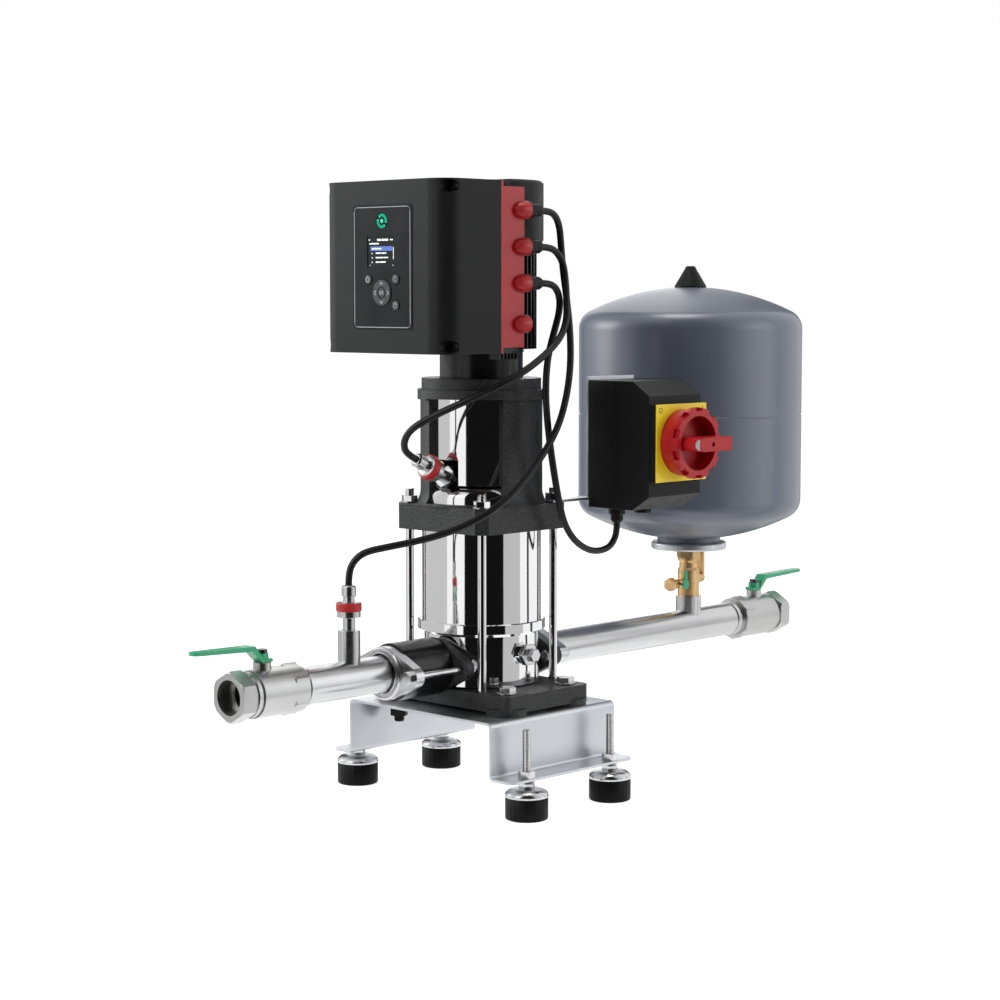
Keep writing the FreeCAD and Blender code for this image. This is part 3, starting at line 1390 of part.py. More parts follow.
def switch_base():
    """Back half of the switch housing, open to the front, around the contact block."""
    right = switch_left + switch_width
    front = -switch_back - switch_base_depth
    shell = block((switch_left, right), (front, -switch_back), (switch_bottom, switch_bottom + switch_height))
    room = block((switch_left + switch_wall, right - switch_wall), (front - 1, -switch_back - switch_wall),
                 (switch_bottom + switch_wall, switch_bottom + switch_height - switch_wall))
    return shell.cut(room)


def switch_cover():
    """Front half with bevelled top and bottom, and the raised pad for the plate."""
    right = switch_left + switch_width
    rear = -switch_back - switch_base_depth
    front = rear - switch_cover_depth
    top = switch_bottom + switch_height

    def bevelled(inset, low_x, high_x, rear_y):
        face = front + inset
        bend = front + switch_bevel_depth + inset
        return prism([(rear_y, switch_bottom + inset), (bend, switch_bottom + inset),
                      (face, switch_bottom + switch_bevel_height + inset), (face, top - switch_bevel_height - inset),
                      (bend, top - inset), (rear_y, top - inset)], "X", low_x, high_x)

    shell = bevelled(0, switch_left, right, rear)
    room = bevelled(switch_wall, switch_left + switch_wall, right - switch_wall, rear + 1)
    x, z = switch_centre
    half = switch_pad / 2
    pad = block((x - half, x + half), (front - switch_pad_thickness, front + switch_wall), (z - half, z + half))
    bore = rod(handle_shaft_radius + side_gap, (x, front - switch_pad_thickness - 1, z), (x, front + switch_wall + 1, z))
    return joined(shell.cut(room), pad).cut(bore)


def switch_front():
    """Front face of the pad, where the plate is fixed."""
    return -switch_back - switch_base_depth - switch_cover_depth - switch_pad_thickness


def switch_plate():
    x, z = switch_centre
    half = switch_pad / 2
    front = switch_front()
    plate = block((x - half, x + half), (front - switch_plate_thickness, front), (z - half, z + half))
    bore = rod(handle_shaft_radius + side_gap, (x, front - switch_plate_thickness - 1, z), (x, front + 1, z))
    return plate.cut(bore)


def switch_block():
    """Contact block on the back wall, with the bearing of the handle's shaft."""
    x, z = switch_centre
    half = contact_block / 2
    back = -switch_back - switch_wall
    body = block((x - half, x + half), (back - contact_depth, back), (z - half, z + half))
    bore = rod(handle_shaft_radius + running_fit, (x, back - contact_depth - 1, z), (x, back - contact_depth / 2, z))
    return body.cut(bore)


def switch_handle():
    """Knob with a castellated rim, a grip bar across its cup and a shaft to the contacts."""
    x, z = switch_centre
    rear = switch_front() - switch_plate_thickness - side_gap
    length = knob_depth
    cup = turned([(0, 0), (knob_radius, 0), (knob_radius, length - knob_rim), (knob_rim_radius, length - knob_rim + 1),
                  (knob_rim_radius, length - 1), (knob_rim_radius - 1, length), (knob_bore, length),
                  (knob_bore, knob_floor), (0, knob_floor)], (x, rear, z), (0, -1, 0))
    notches = []
    for i in range(knob_notches):
        angle = 360 * (i + 0.5) / knob_notches
        notch = block((knob_radius - 1.5, knob_rim_radius + 1), (-length - 1, -length + knob_rim * 0.8),
                      (-knob_notch_width / 2, knob_notch_width / 2))
        notch.rotate(vec(0, 0, 0), vec(0, 1, 0), angle)
        notch.translate(vec(x, rear, z))
        notches.append(notch)
    grip_front = rear - length - grip_reach
    low_x, high_x = x - grip_half_length, x + grip_half_length
    grip = block((low_x, high_x), (grip_front, rear - knob_floor + 1), (z - grip_half_height, z + grip_half_height))
    grip = rounded(grip, grip_half_height - 1, "Y", [(low_x, z - grip_half_height), (low_x, z + grip_half_height)])
    hole = rod(grip_hole_radius, (x + grip_hole_x, grip_front - 1, z), (x + grip_hole_x, grip_front + grip_reach, z))
    shaft_end = -switch_back - switch_wall - contact_depth / 2 - side_gap
    shaft = rod(handle_shaft_radius, (x, rear, z), (x, shaft_end, z))
    return joined(cup.cut(notches), grip, shaft).cut(hole)


# Cables

suction_route = [
    (-9, -104, 686), (5.5, -104, 686), (19, -101.5, 680.5), (29, -98, 668.5), (34, -95.5, 650), (38, -95, 620),
    (40.5, -99, 586), (40, -105, 548), (35.5, -110, 509), (25, -113, 472), (8, -115, 437), (-23, -116, 403),
    (-58, -116, 373), (-91, -106, 348), (-121, -84, 329), (-151, -57, 317), (-180, -30.5, 309.5),
    (-198.5, -13, 304.2), (-207.2, -4.7, 295.2), (-212, 0, 281.8), (-212, 0, 266.8),
]
head_route = [
    (-9, -104, 645), (5.5, -104, 645), (18.5, -104, 639.5), (27.5, -105, 627.5), (30, -106.5, 609), (29, -109.5, 583),
    (25, -113, 560), (10, -117, 541), (-17, -120.5, 524), (-50, -121, 506.5), (-79, -109, 490), (-101, -88, 476),
    (-116, -64, 463.5), (-128, -44, 452.4), (-138.5, -28.5, 441.5), (-139.5, -17.7, 431.4), (-135.5, -9.5, 420.5),
    (-126.8, -5, 410.5), (-112.42, -5, 403.49),
]
supply_route = [
    (-9, -104, 604), (5.5, -104, 604), (18.8, -102.5, 598.5), (27.5, -100, 587), (28.5, -98.5, 571.5),
    (20.5, -97.5, 548), (7, -100, 520), (0, -103, 482), (4, -102.5, 446), (11, -101.5, 412), (18.5, -101, 380),
    (27, -100, 350), (38, -98, 325), (55, -96.5, 305.5), (77, -95, 292.5), (99, -93, 287), (120.7, -92.4, 288.8),
    (131.7, -92, 296), (138, -92, 307.6), (138, -92, 319),
]


def cable(name, route):
    """Tube along straight runs that are joined by tangent arcs."""
    points = [vec(*point) for point in route]
    edges = []
    radii = []
    here = points[0]
    for before, corner, after in zip(points, points[1:], points[2:]):
        inward = corner.sub(before)
        outward = after.sub(corner)
        turn = inward.getAngle(outward)
        back = cord_share * min(inward.Length, outward.Length)
        radius = back / math.tan(turn / 2)
        radii.append(round(radius, 1))
        inward.normalize()
        outward.normalize()
        start = corner.sub(inward * back)
        end = corner.add(outward * back)
        bisector = outward.sub(inward)
        bisector.normalize()
        middle = corner.add(bisector * (radius / math.cos(turn / 2) - radius))
        edges.append(Part.LineSegment(here, start).toShape())
        edges.append(Part.Arc(start, middle, end).toShape())
        here = end
    edges.append(Part.LineSegment(here, points[-1]).toShape())
    path = Part.Wire(edges)
    first = points[1].sub(points[0])
    section = Part.Wire(Part.Circle(points[0], first, cable_radius).toShape())
    solid = path.makePipeShell([section], True, False)
    share = solid.Volume / (math.pi * cable_radius ** 2 * path.Length)
    print(name, "length", round(path.Length), "radii", radii, "volume share", round(share, 4))
    return solid


def gland_ends():
    """Outer ends of the gland domes on the converter and below the switch."""
    rear = -(box_front - cover_depth) + band_depth
    end = rear + gland_hex_length + gland_dome_length
    converter = [(end, -gland_y, z) for z in gland_heights]
    drop = gland_hex_length + switch_gland_dome_length
    return converter + [(switch_gland_x, -switch_gland_y, switch_bottom - drop)]


def sensor_ends():
    """Outer end of each sensor's cable nut."""
    length = sensor_neck + sensor_collar + sensor_ring + sensor_top + sensor_nut
    return [tuple(vec(*seat).add(vec(*axis) * length)) for seat, axis in sensor_seats()]


os.makedirs("parts", exist_ok=True)

# Frame and pump
for number, (x, y) in enumerate(corners_of(foot_pitch_x / 2, foot_pitch_y / 2), 1):
    save("foot_" + str(number), *levelling_foot(x, y))
save("base_bracket", base_bracket())
save("base_plate", base_plate())
save("hex_fasteners", *base_fasteners(), *flange_bolts())
save("pump_chamber", pump_chamber())
save("port_flanges", *port_flanges())
save("drain_plug", drain_plug())
save("outer_sleeve", outer_sleeve())
save("tie_rods", *tie_rods())
save("stage_chambers", *stage_chambers())
save("pump_head", pump_head())
save("motor_stool", motor_stool())
save("coupling_guards", *coupling_guards())

# Rotor
save("pump_shaft", pump_shaft())
save("impellers", *[impeller(collar_top + i * stage_pitch()) for i in range(stage_count)])
save("motor_rotor", motor_rotor())
save("cooling_fan", cooling_fan())

# Motor and converter
save("motor_frame", motor_frame())
save("motor_stator", motor_stator())
save("shaft_bearings", *shaft_bearings())
save("fan_cover", fan_cover())
save("converter_base", converter_band())
save("converter_cover", converter_cover())
save("control_panel", control_panel())
for key_name, (y, z) in key_places().items():
    save(key_name, round_key(y, z))
save("navigation_ring", navigation_ring())
save("ok_button", ok_key())
save("cable_glands", *cable_glands())

# Sensors and pipework
save("sensor_bodies", *[sensor_body(seat, axis) for seat, axis in sensor_seats()], sensor_adapter())
save("sensor_rings", *[sensor_colour_ring(seat, axis) for seat, axis in sensor_seats()])
save("suction_pipe", suction_pipe())
save("discharge_pipe", discharge_pipe())
save("check_valve_housing", check_valve_housing())
save("check_poppet", check_poppet())
save("ball_valve_bodies", to_inlet(ball_valve_body()), ball_valve_body())
save("inlet_ball", to_inlet(valve_ball()))
save("outlet_ball", valve_ball())
save("inlet_lever", to_inlet(valve_lever()))
save("outlet_lever", valve_lever())

# Tank
save("tank_shells", *tank_shells())
save("tank_diaphragm", tank_diaphragm())
save("tank_cap", tank_cap())
save("tank_flange", tank_flange())
save("tank_valve_body", tank_valve_body())
save("tank_valve_lever", tank_valve_lever())
save("drain_lever", drain_lever())

# Isolating switch
save("switch_bracket", switch_bracket())
save("switch_base", switch_base())
save("switch_cover", switch_cover())
save("switch_plate", switch_plate())
save("switch_block", switch_block())
save("switch_handle", switch_handle())

# Cables
save("cable_suction", cable("cable_suction", suction_route))
save("cable_head", cable("cable_head", head_route))
save("cable_supply", cable("cable_supply", supply_route))
for place in gland_ends() + sensor_ends():
    print("cable end seat", tuple(round(value, 2) for value in place))
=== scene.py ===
# %% [markdown]
# # A booster pump set, dressed for a studio picture
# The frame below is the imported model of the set: every solid is already in place, in metres,
# with +X along the pipe and +Z up. This lesson gives the solids their finishes and adds what a
# solid model leaves out: threads, washers, the cables' soft sheath, the lit screen and the signs
# on the keys. We load the frame first, because every later piece sits on it.

# %% Load the frame
import bpy
import bmesh
import json
import math
from mathutils import Matrix, Vector


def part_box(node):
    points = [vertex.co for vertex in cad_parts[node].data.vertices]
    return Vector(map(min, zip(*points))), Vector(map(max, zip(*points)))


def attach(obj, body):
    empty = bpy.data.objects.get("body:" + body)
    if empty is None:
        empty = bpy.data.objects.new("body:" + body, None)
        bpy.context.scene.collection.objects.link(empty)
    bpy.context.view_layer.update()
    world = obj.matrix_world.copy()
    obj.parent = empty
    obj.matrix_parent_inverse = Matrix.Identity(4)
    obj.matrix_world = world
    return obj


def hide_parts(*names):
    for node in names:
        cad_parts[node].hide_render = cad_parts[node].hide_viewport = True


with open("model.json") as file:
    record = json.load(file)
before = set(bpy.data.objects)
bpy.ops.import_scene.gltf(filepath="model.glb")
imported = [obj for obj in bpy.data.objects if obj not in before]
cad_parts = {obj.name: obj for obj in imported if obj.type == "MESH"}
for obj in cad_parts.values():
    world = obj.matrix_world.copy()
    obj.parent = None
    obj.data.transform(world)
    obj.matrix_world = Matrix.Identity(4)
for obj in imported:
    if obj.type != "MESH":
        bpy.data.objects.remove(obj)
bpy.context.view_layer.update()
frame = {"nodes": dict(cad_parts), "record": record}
nodes = frame["nodes"]
record = frame["record"]
node_slot = {part["node"]: part["material_slot"] for part in record["subparts"]}
node_body = {node: body for body, members in record["behaviour"]["bodies"].items() for node in members}
MM = 0.001

# %% [markdown]
# ## Camera
# The photograph looks from the front left, five degrees down, with a long lens. The camera is
# placed once, by numbers measured from the pipe's and the box's vanishing lines.

# %% Camera
camera_data = bpy.data.cameras.new("view")
camera_data.lens = 83.255
camera_data.sensor_width = 36.0
camera_data.clip_end = 60.0
camera = bpy.data.objects.new("view", camera_data)
camera.location = (-1.940883, -1.914641, 0.590101)
camera.rotation_euler = (math.radians(90 - 5.054), 0.0, math.radians(-45.851))
bpy.context.scene.collection.objects.link(camera)
bpy.context.scene.camera = camera
bpy.context.scene.view_settings.view_transform = "Standard"

# %% [markdown]
# ## Daylight room
# A white cyclorama is a big pale floor that runs up to a white world. The camera and every
# mirror-like surface should see plain white, while the light that falls on dull surfaces stays
# lower, so that colours keep their values. The Light Path node tells these rays apart.

# %% World
world = bpy.data.worlds.new("white_room")
bpy.context.scene.world = world
world.use_nodes = True
tree = world.node_tree
tree.nodes.clear()
path = tree.nodes.new("ShaderNodeLightPath")
seen = tree.nodes.new("ShaderNodeMath")
seen.operation = "MAXIMUM"
lit = tree.nodes.new("ShaderNodeBackground")
lit.inputs["Color"].default_value = (0.93, 0.96, 1.0, 1)
lit.inputs["Strength"].default_value = 0.42
white = tree.nodes.new("ShaderNodeBackground")
white.inputs["Color"].default_value = (1, 1, 1, 1)
white.inputs["Strength"].default_value = 1.0
pick = tree.nodes.new("ShaderNodeMixShader")
out = tree.nodes.new("ShaderNodeOutputWorld")
tree.links.new(path.outputs["Is Camera Ray"], seen.inputs[0])
tree.links.new(path.outputs["Is Glossy Ray"], seen.inputs[1])
tree.links.new(seen.outputs[0], pick.inputs["Fac"])
tree.links.new(lit.outputs[0], pick.inputs[1])
tree.links.new(white.outputs[0], pick.inputs[2])
tree.links.new(pick.outputs[0], out.inputs["Surface"])

# %% [markdown]
# ## Small helpers for meshes and materials
# A bmesh is a mesh in the making. `link_object` turns one into an object that sits at the
# origin, with its place in its own points, as every solid of the frame does. A turned piece is
# a profile spun round an axis, which `lathe` does. `aimed` tells where a part of a piece goes
# and which way it points, and `gather` joins such parts in one mesh.

# %% Helpers
THREAD_STEPS = 16  # steps in one turn of a thread


def new_material(name):
    """Empty material with its nodes and links at hand."""
    material = bpy.data.materials.new(name)
    material.use_nodes = True
    material.node_tree.nodes.clear()
    return material, material.node_tree.nodes, material.node_tree.links


def link_object(name, bm, material=None, smooth=None):
    """Turn a bmesh into an object at the origin; smooth is the angle of its sharp edges."""
    mesh = bpy.data.meshes.new(name)
    bm.to_mesh(mesh)
    bm.free()
    piece = bpy.data.objects.new(name, mesh)
    bpy.context.scene.collection.objects.link(piece)
    if material:
        mesh.materials.append(material)
    if smooth:
        for polygon in mesh.polygons:
            polygon.use_smooth = True
        mesh.set_sharp_from_angle(angle=math.radians(smooth))
    return piece


def lathe(points, steps=56):
    """Spin (radius, height) points in millimetres round Z into a closed turned shape."""
    bm = bmesh.new()
    verts = [bm.verts.new((r * MM, 0, z * MM)) for r, z in points]
    edges = [bm.edges.new(pair) for pair in zip(verts, verts[1:])]
    bmesh.ops.spin(bm, geom=verts + edges, cent=(0, 0, 0), axis=(0, 0, 1), angle=math.tau, steps=steps,
                   use_merge=True)
    bmesh.ops.remove_doubles(bm, verts=bm.verts, dist=2e-6)
    bmesh.ops.recalc_face_normals(bm, faces=bm.faces)
    return bm


def prism(sides, across_flats, low, high, edge=0.6):
    """Upright nut or bolt head with broken edges, in millimetres."""
    bm = bmesh.new()
    bmesh.ops.create_circle(bm, cap_ends=True, segments=sides,
                            radius=across_flats / 2 / math.cos(math.pi / sides) * MM)
    top = bmesh.ops.extrude_face_region(bm, geom=list(bm.faces))
    lifted = [v for v in top["geom"] if isinstance(v, bmesh.types.BMVert)]
    bmesh.ops.translate(bm, vec=(0, 0, (high - low) * MM), verts=lifted)
    bmesh.ops.translate(bm, vec=(0, 0, low * MM), verts=bm.verts)
    bmesh.ops.recalc_face_normals(bm, faces=bm.faces)
    bmesh.ops.bevel(bm, geom=bm.edges, offset=edge * MM, segments=2, profile=0.5, affect="EDGES", material=-1)
    return bm


def washer(bore, radius, low, high, edge=0.3):
    """Turned ring with its outer edges broken, in millimetres."""
    return lathe([(bore, low), (radius - edge, low), (radius, low + edge), (radius, high - edge),
                  (radius - edge, high), (bore, high), (bore, low)], 40)


def thread(radius, pitch, length, depth=0.5):
    """Thread ridge that winds up round Z: a triangle spun with a rise, closed at both ends."""
    bm = bmesh.new()
    root = (radius - depth) * MM
    corners = ((root, 0, 0), (radius * MM, 0, pitch / 2 * MM), (root, 0, pitch * 0.98 * MM))
    verts = [bm.verts.new(corner) for corner in corners]
    edges = [bm.edges.new((verts[i], verts[(i + 1) % 3])) for i in range(3)]
    steps = int((length / pitch - 1) * THREAD_STEPS)
    bmesh.ops.spin(bm, geom=verts + edges, cent=(0, 0, 0), axis=(0, 0, 1),
                   angle=math.tau * steps / THREAD_STEPS, steps=steps, dvec=(0, 0, pitch * MM / THREAD_STEPS))
    bmesh.ops.holes_fill(bm, edges=[e for e in bm.edges if e.is_boundary], sides=0)
    bmesh.ops.recalc_face_normals(bm, faces=bm.faces)
    return bm


def cut_off(bm, point, normal):
    """Drop what lies beyond a plane and close the cut."""
    bmesh.ops.bisect_plane(bm, geom=list(bm.verts) + list(bm.edges) + list(bm.faces), dist=1e-7,
                           plane_co=point, plane_no=normal, clear_outer=True)
    bmesh.ops.holes_fill(bm, edges=[e for e in bm.edges if e.is_boundary], sides=0)


def aimed(at, axis=(0, 0, 1)):
    """Matrix that sets a shape built up +Z at a point in millimetres, turned to an axis."""
    turn = Vector((0, 0, 1)).rotation_difference(Vector(axis)).to_matrix().to_4x4()
    return Matrix.Translation(Vector(at) * MM) @ turn


def gather(parts):
    """Join (bmesh, matrix) pairs in one bmesh."""
    whole = bmesh.new()
    for part, matrix in parts:
        bmesh.ops.transform(part, matrix=matrix, verts=part.verts)
        carrier = bpy.data.meshes.new("carrier")
        part.to_mesh(carrier)
        part.free()
        whole.from_mesh(carrier)
        bpy.data.meshes.remove(carrier)
    return whole


def seated(piece, node):
    """Let a piece ride with a node's body."""
    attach(piece, node_body[node])
    return piece


# %% [markdown]
# ## Floor
# The floor is a dull white sheet. It gives off just enough of its own light for the camera to
# see it as white as the world behind, and still takes the faint shadow under the feet.

# %% Floor
floor_paint, n, links = new_material("floor_paint")
floor_dull = n.new("ShaderNodeBsdfDiffuse")
floor_dull.inputs["Color"].default_value = (0.82, 0.82, 0.82, 1)
floor_shade = n.new("ShaderNodeBsdfDiffuse")
floor_shade.inputs["Color"].default_value = (0.3, 0.3, 0.3, 1)
floor_glow = n.new("ShaderNodeEmission")
floor_glow.inputs["Strength"].default_value = 0.9
floor_sum = n.new("ShaderNodeAddShader")
floor_mix = n.new("ShaderNodeMixShader")
floor_path = n.new("ShaderNodeLightPath")
floor_seen = n.new("ShaderNodeMath")
floor_seen.operation = "MAXIMUM"
floor_out = n.new("ShaderNodeOutputMaterial")
links.new(floor_shade.outputs[0], floor_sum.inputs[0])
links.new(floor_glow.outputs[0], floor_sum.inputs[1])
links.new(floor_dull.outputs[0], floor_mix.inputs[1])
links.new(floor_sum.outputs[0], floor_mix.inputs[2])
links.new(floor_path.outputs["Is Camera Ray"], floor_seen.inputs[0])
links.new(floor_path.outputs["Is Glossy Ray"], floor_seen.inputs[1])
links.new(floor_seen.outputs[0], floor_mix.inputs["Fac"])
links.new(floor_mix.outputs[0], floor_out.inputs["Surface"])

bm = bmesh.new()
bmesh.ops.create_grid(bm, x_segments=1, y_segments=1, size=25.0)
link_object("floor", bm, floor_paint)

# %% [markdown]
# ## Flags and cards
# Polished steel has no look of its own: it shows what stands round it. A photographer sets
# black flags and white cards round a shiny piece to draw hard dark and bright bands on it. Here
# they are one ring of wall that reaches in over the floor and overhead, seen by mirror rays only,
# whose tone changes with the direction. A constant colour ramp gives each band its hard edge.
# Each band is the angle where it starts, counted from the camera's side, and its tone.

# %% Studio wall
WALL_BANDS = [(-180, 1.0), (-168, 0.08), (-150, 0.6), (-69, 1.0), (-57, 0.03), (-54, 1.0), (-33, 0.006),
              (41, 0.55), (78, 1.0), (97, 0.03), (102, 1.0), (150, 0.08), (168, 1.0)]
camera_side = math.degrees(math.atan2(camera.location.y, camera.location.x))
wall_paint, n, links = new_material("wall_paint")
place = n.new("ShaderNodeTexCoord")
parts = n.new("ShaderNodeSeparateXYZ")
turn = n.new("ShaderNodeMath")
turn.operation = "ARCTAN2"
share = n.new("ShaderNodeMath")
share.operation = "MULTIPLY_ADD"
share.inputs[1].default_value = 1 / math.tau
share.inputs[2].default_value = 0.5 - camera_side / 360
wrap = n.new("ShaderNodeMath")
wrap.operation = "FRACT"
ramp = n.new("ShaderNodeValToRGB")
ramp.color_ramp.interpolation = "CONSTANT"
while len(ramp.color_ramp.elements) > 1:
    ramp.color_ramp.elements.remove(ramp.color_ramp.elements[0])
for index, (angle, tone) in enumerate(WALL_BANDS):
    place_on_ramp = (angle + 180) / 360
    stop = ramp.color_ramp.elements.new(place_on_ramp) if index else ramp.color_ramp.elements[0]
    stop.position = place_on_ramp
    stop.color = (tone, tone, tone, 1)
glow = n.new("ShaderNodeEmission")
end = n.new("ShaderNodeOutputMaterial")
links.new(place.outputs["Object"], parts.inputs[0])
links.new(parts.outputs["Y"], turn.inputs[0])
links.new(parts.outputs["X"], turn.inputs[1])
links.new(turn.outputs[0], share.inputs[0])
links.new(share.outputs[0], wrap.inputs[0])
links.new(wrap.outputs[0], ramp.inputs["Fac"])
links.new(ramp.outputs["Color"], glow.inputs["Color"])
links.new(glow.outputs[0], end.inputs["Surface"])

WALL_STEPS = ((4.8, 0.0), (1.0, 2.3), (0.2, 0.0))  # out over the floor, up, and in overhead
bm = bmesh.new()
bmesh.ops.create_circle(bm, cap_ends=False, segments=128, radius=0.5)
for wider, rise in WALL_STEPS:
    far = max(v.co.length for v in bm.verts)
    rim = [e for e in bm.edges if all(v.co.length > far - 0.01 for v in e.verts)]
    raised = bmesh.ops.extrude_edge_only(bm, edges=rim)
    fresh = [v for v in raised["geom"] if isinstance(v, bmesh.types.BMVert)]
    bmesh.ops.scale(bm, vec=(wider, wider, 1), verts=fresh)
    bmesh.ops.translate(bm, vec=(0, 0, rise), verts=fresh)
bmesh.ops.translate(bm, vec=(0, 0, 0.002), verts=bm.verts)
wall = link_object("studio_wall", bm, wall_paint)
wall.visible_camera = False
wall.visible_diffuse = False
wall.visible_transmission = False
wall.visible_shadow = False
print("bands", len(WALL_BANDS), "camera side", round(camera_side, 2))

# %% [markdown]
# ## Lamps
# Five soft lamps. A warm key on the left gives the form, one behind it and one behind on the
# right draw bright lines on the black pieces, a fill from the front right opens the shadows,
# and a weak one overhead lights the tops.

# %% Lamps
def area_lamp(name, place, target, size, power, tint=(1, 1, 1)):
    """Rectangular soft lamp that points at a target; lengths in metres."""
    data = bpy.data.lights.new(name, "AREA")
    data.shape = "RECTANGLE"
    data.size, data.size_y = size
    data.energy = power
    data.color = tint
    lamp = bpy.data.objects.new(name, data)
    lamp.location = place
    aim = Vector(target) - Vector(place)
    lamp.rotation_euler = aim.to_track_quat("-Z", "Y").to_euler()
    bpy.context.scene.collection.objects.link(lamp)
    return lamp


area_lamp("key", (-3.0, 0.4, 2.0), (0.1, 0, 0.4), (1.2, 1.6), 46, (1.0, 0.985, 0.96))
area_lamp("edge", (-1.3, 2.7, 1.3), (0.385, 0, 0.45), (0.8, 1.6), 64, (0.96, 0.98, 1.0))
area_lamp("fill", (1.7, -2.9, 1.3), (0.1, 0, 0.4), (1.2, 2.0), 40, (0.95, 0.97, 1.0))
area_lamp("rim", (2.4, 1.8, 1.6), (0.1, 0, 0.45), (0.6, 2.0), 40)
area_lamp("top", (0.3, 0.2, 2.6), (0.25, 0, 0.4), (1.2, 1.2), 26)

# %% [markdown]
# ## Surface patterns shared by many finishes
# Three node groups carry the small-scale look of most pieces. `cloudy` is a soft blotch that
# varies colour and gloss, as handling and dust do. `grainy` is the fine relief of a casting or
# of moulded plastic. `brushed_lines` are the long scratches of a belt finish. Each is built once
# and placed in a material with its own scale.

# %% Node groups
def new_group(name, inputs, outputs):
    """Node group with its sockets, and the nodes at its two ends."""
    group = bpy.data.node_groups.new(name, "ShaderNodeTree")
    for label, kind, value in inputs:
        socket = group.interface.new_socket(name=label, in_out="INPUT", socket_type=kind)
        if value is not None:
            socket.default_value = value
    for label, kind in outputs:
        group.interface.new_socket(name=label, in_out="OUTPUT", socket_type=kind)
    return group, group.nodes.new("NodeGroupInput"), group.nodes.new("NodeGroupOutput")


FLOAT = "NodeSocketFloat"
VECTOR = "NodeSocketVector"

cloudy, start, end = new_group("cloudy", [("Vector", VECTOR, None), ("Scale", FLOAT, 20.0),
                                          ("Low", FLOAT, 0.0), ("High", FLOAT, 1.0)], [("Value", FLOAT)])
noise = cloudy.nodes.new("ShaderNodeTexNoise")
noise.inputs["Detail"].default_value = 5.0
noise.inputs["Roughness"].default_value = 0.6
spread = cloudy.nodes.new("ShaderNodeMapRange")
spread.inputs["From Min"].default_value = 0.3
spread.inputs["From Max"].default_value = 0.7
cloudy.links.new(start.outputs["Vector"], noise.inputs["Vector"])
cloudy.links.new(start.outputs["Scale"], noise.inputs["Scale"])
cloudy.links.new(noise.outputs["Fac"], spread.inputs["Value"])
cloudy.links.new(start.outputs["Low"], spread.inputs["To Min"])
cloudy.links.new(start.outputs["High"], spread.inputs["To Max"])
cloudy.links.new(spread.outputs["Result"], end.inputs["Value"])

grainy, start, end = new_group("grainy", [("Vector", VECTOR, None), ("Scale", FLOAT, 600.0)],
                               [("Height", FLOAT), ("Pits", FLOAT)])
fine = grainy.nodes.new("ShaderNodeTexNoise")
fine.inputs["Detail"].default_value = 3.0
cells = grainy.nodes.new("ShaderNodeTexVoronoi")
both = grainy.nodes.new("ShaderNodeMath")
both.operation = "MULTIPLY_ADD"
both.inputs[1].default_value = 0.6
grainy.links.new(start.outputs["Vector"], fine.inputs["Vector"])
grainy.links.new(start.outputs["Vector"], cells.inputs["Vector"])
grainy.links.new(start.outputs["Scale"], fine.inputs["Scale"])
grainy.links.new(start.outputs["Scale"], cells.inputs["Scale"])
grainy.links.new(cells.outputs["Distance"], both.inputs[0])
grainy.links.new(fine.outputs["Fac"], both.inputs[2])
grainy.links.new(both.outputs[0], end.inputs["Height"])
grainy.links.new(cells.outputs["Distance"], end.inputs["Pits"])

brushed_lines, start, end = new_group("brushed_lines", [("Vector", VECTOR, None), ("Scale", FLOAT, 40.0),
                                                        ("Low", FLOAT, 0.2), ("High", FLOAT, 0.4)],
                                      [("Height", FLOAT), ("Value", FLOAT)])
lines = brushed_lines.nodes.new("ShaderNodeTexNoise")
lines.inputs["Detail"].default_value = 4.0
lines.inputs["Roughness"].default_value = 0.7
line_range = brushed_lines.nodes.new("ShaderNodeMapRange")
line_range.inputs["From Min"].default_value = 0.25
line_range.inputs["From Max"].default_value = 0.75
brushed_lines.links.new(start.outputs["Vector"], lines.inputs["Vector"])
brushed_lines.links.new(start.outputs["Scale"], lines.inputs["Scale"])
brushed_lines.links.new(lines.outputs["Fac"], line_range.inputs["Value"])
brushed_lines.links.new(start.outputs["Low"], line_range.inputs["To Min"])
brushed_lines.links.new(start.outputs["High"], line_range.inputs["To Max"])
brushed_lines.links.new(lines.outputs["Fac"], end.inputs["Height"])
brushed_lines.links.new(line_range.outputs["Result"], end.inputs["Value"])
print("groups", [g.name for g in bpy.data.node_groups])
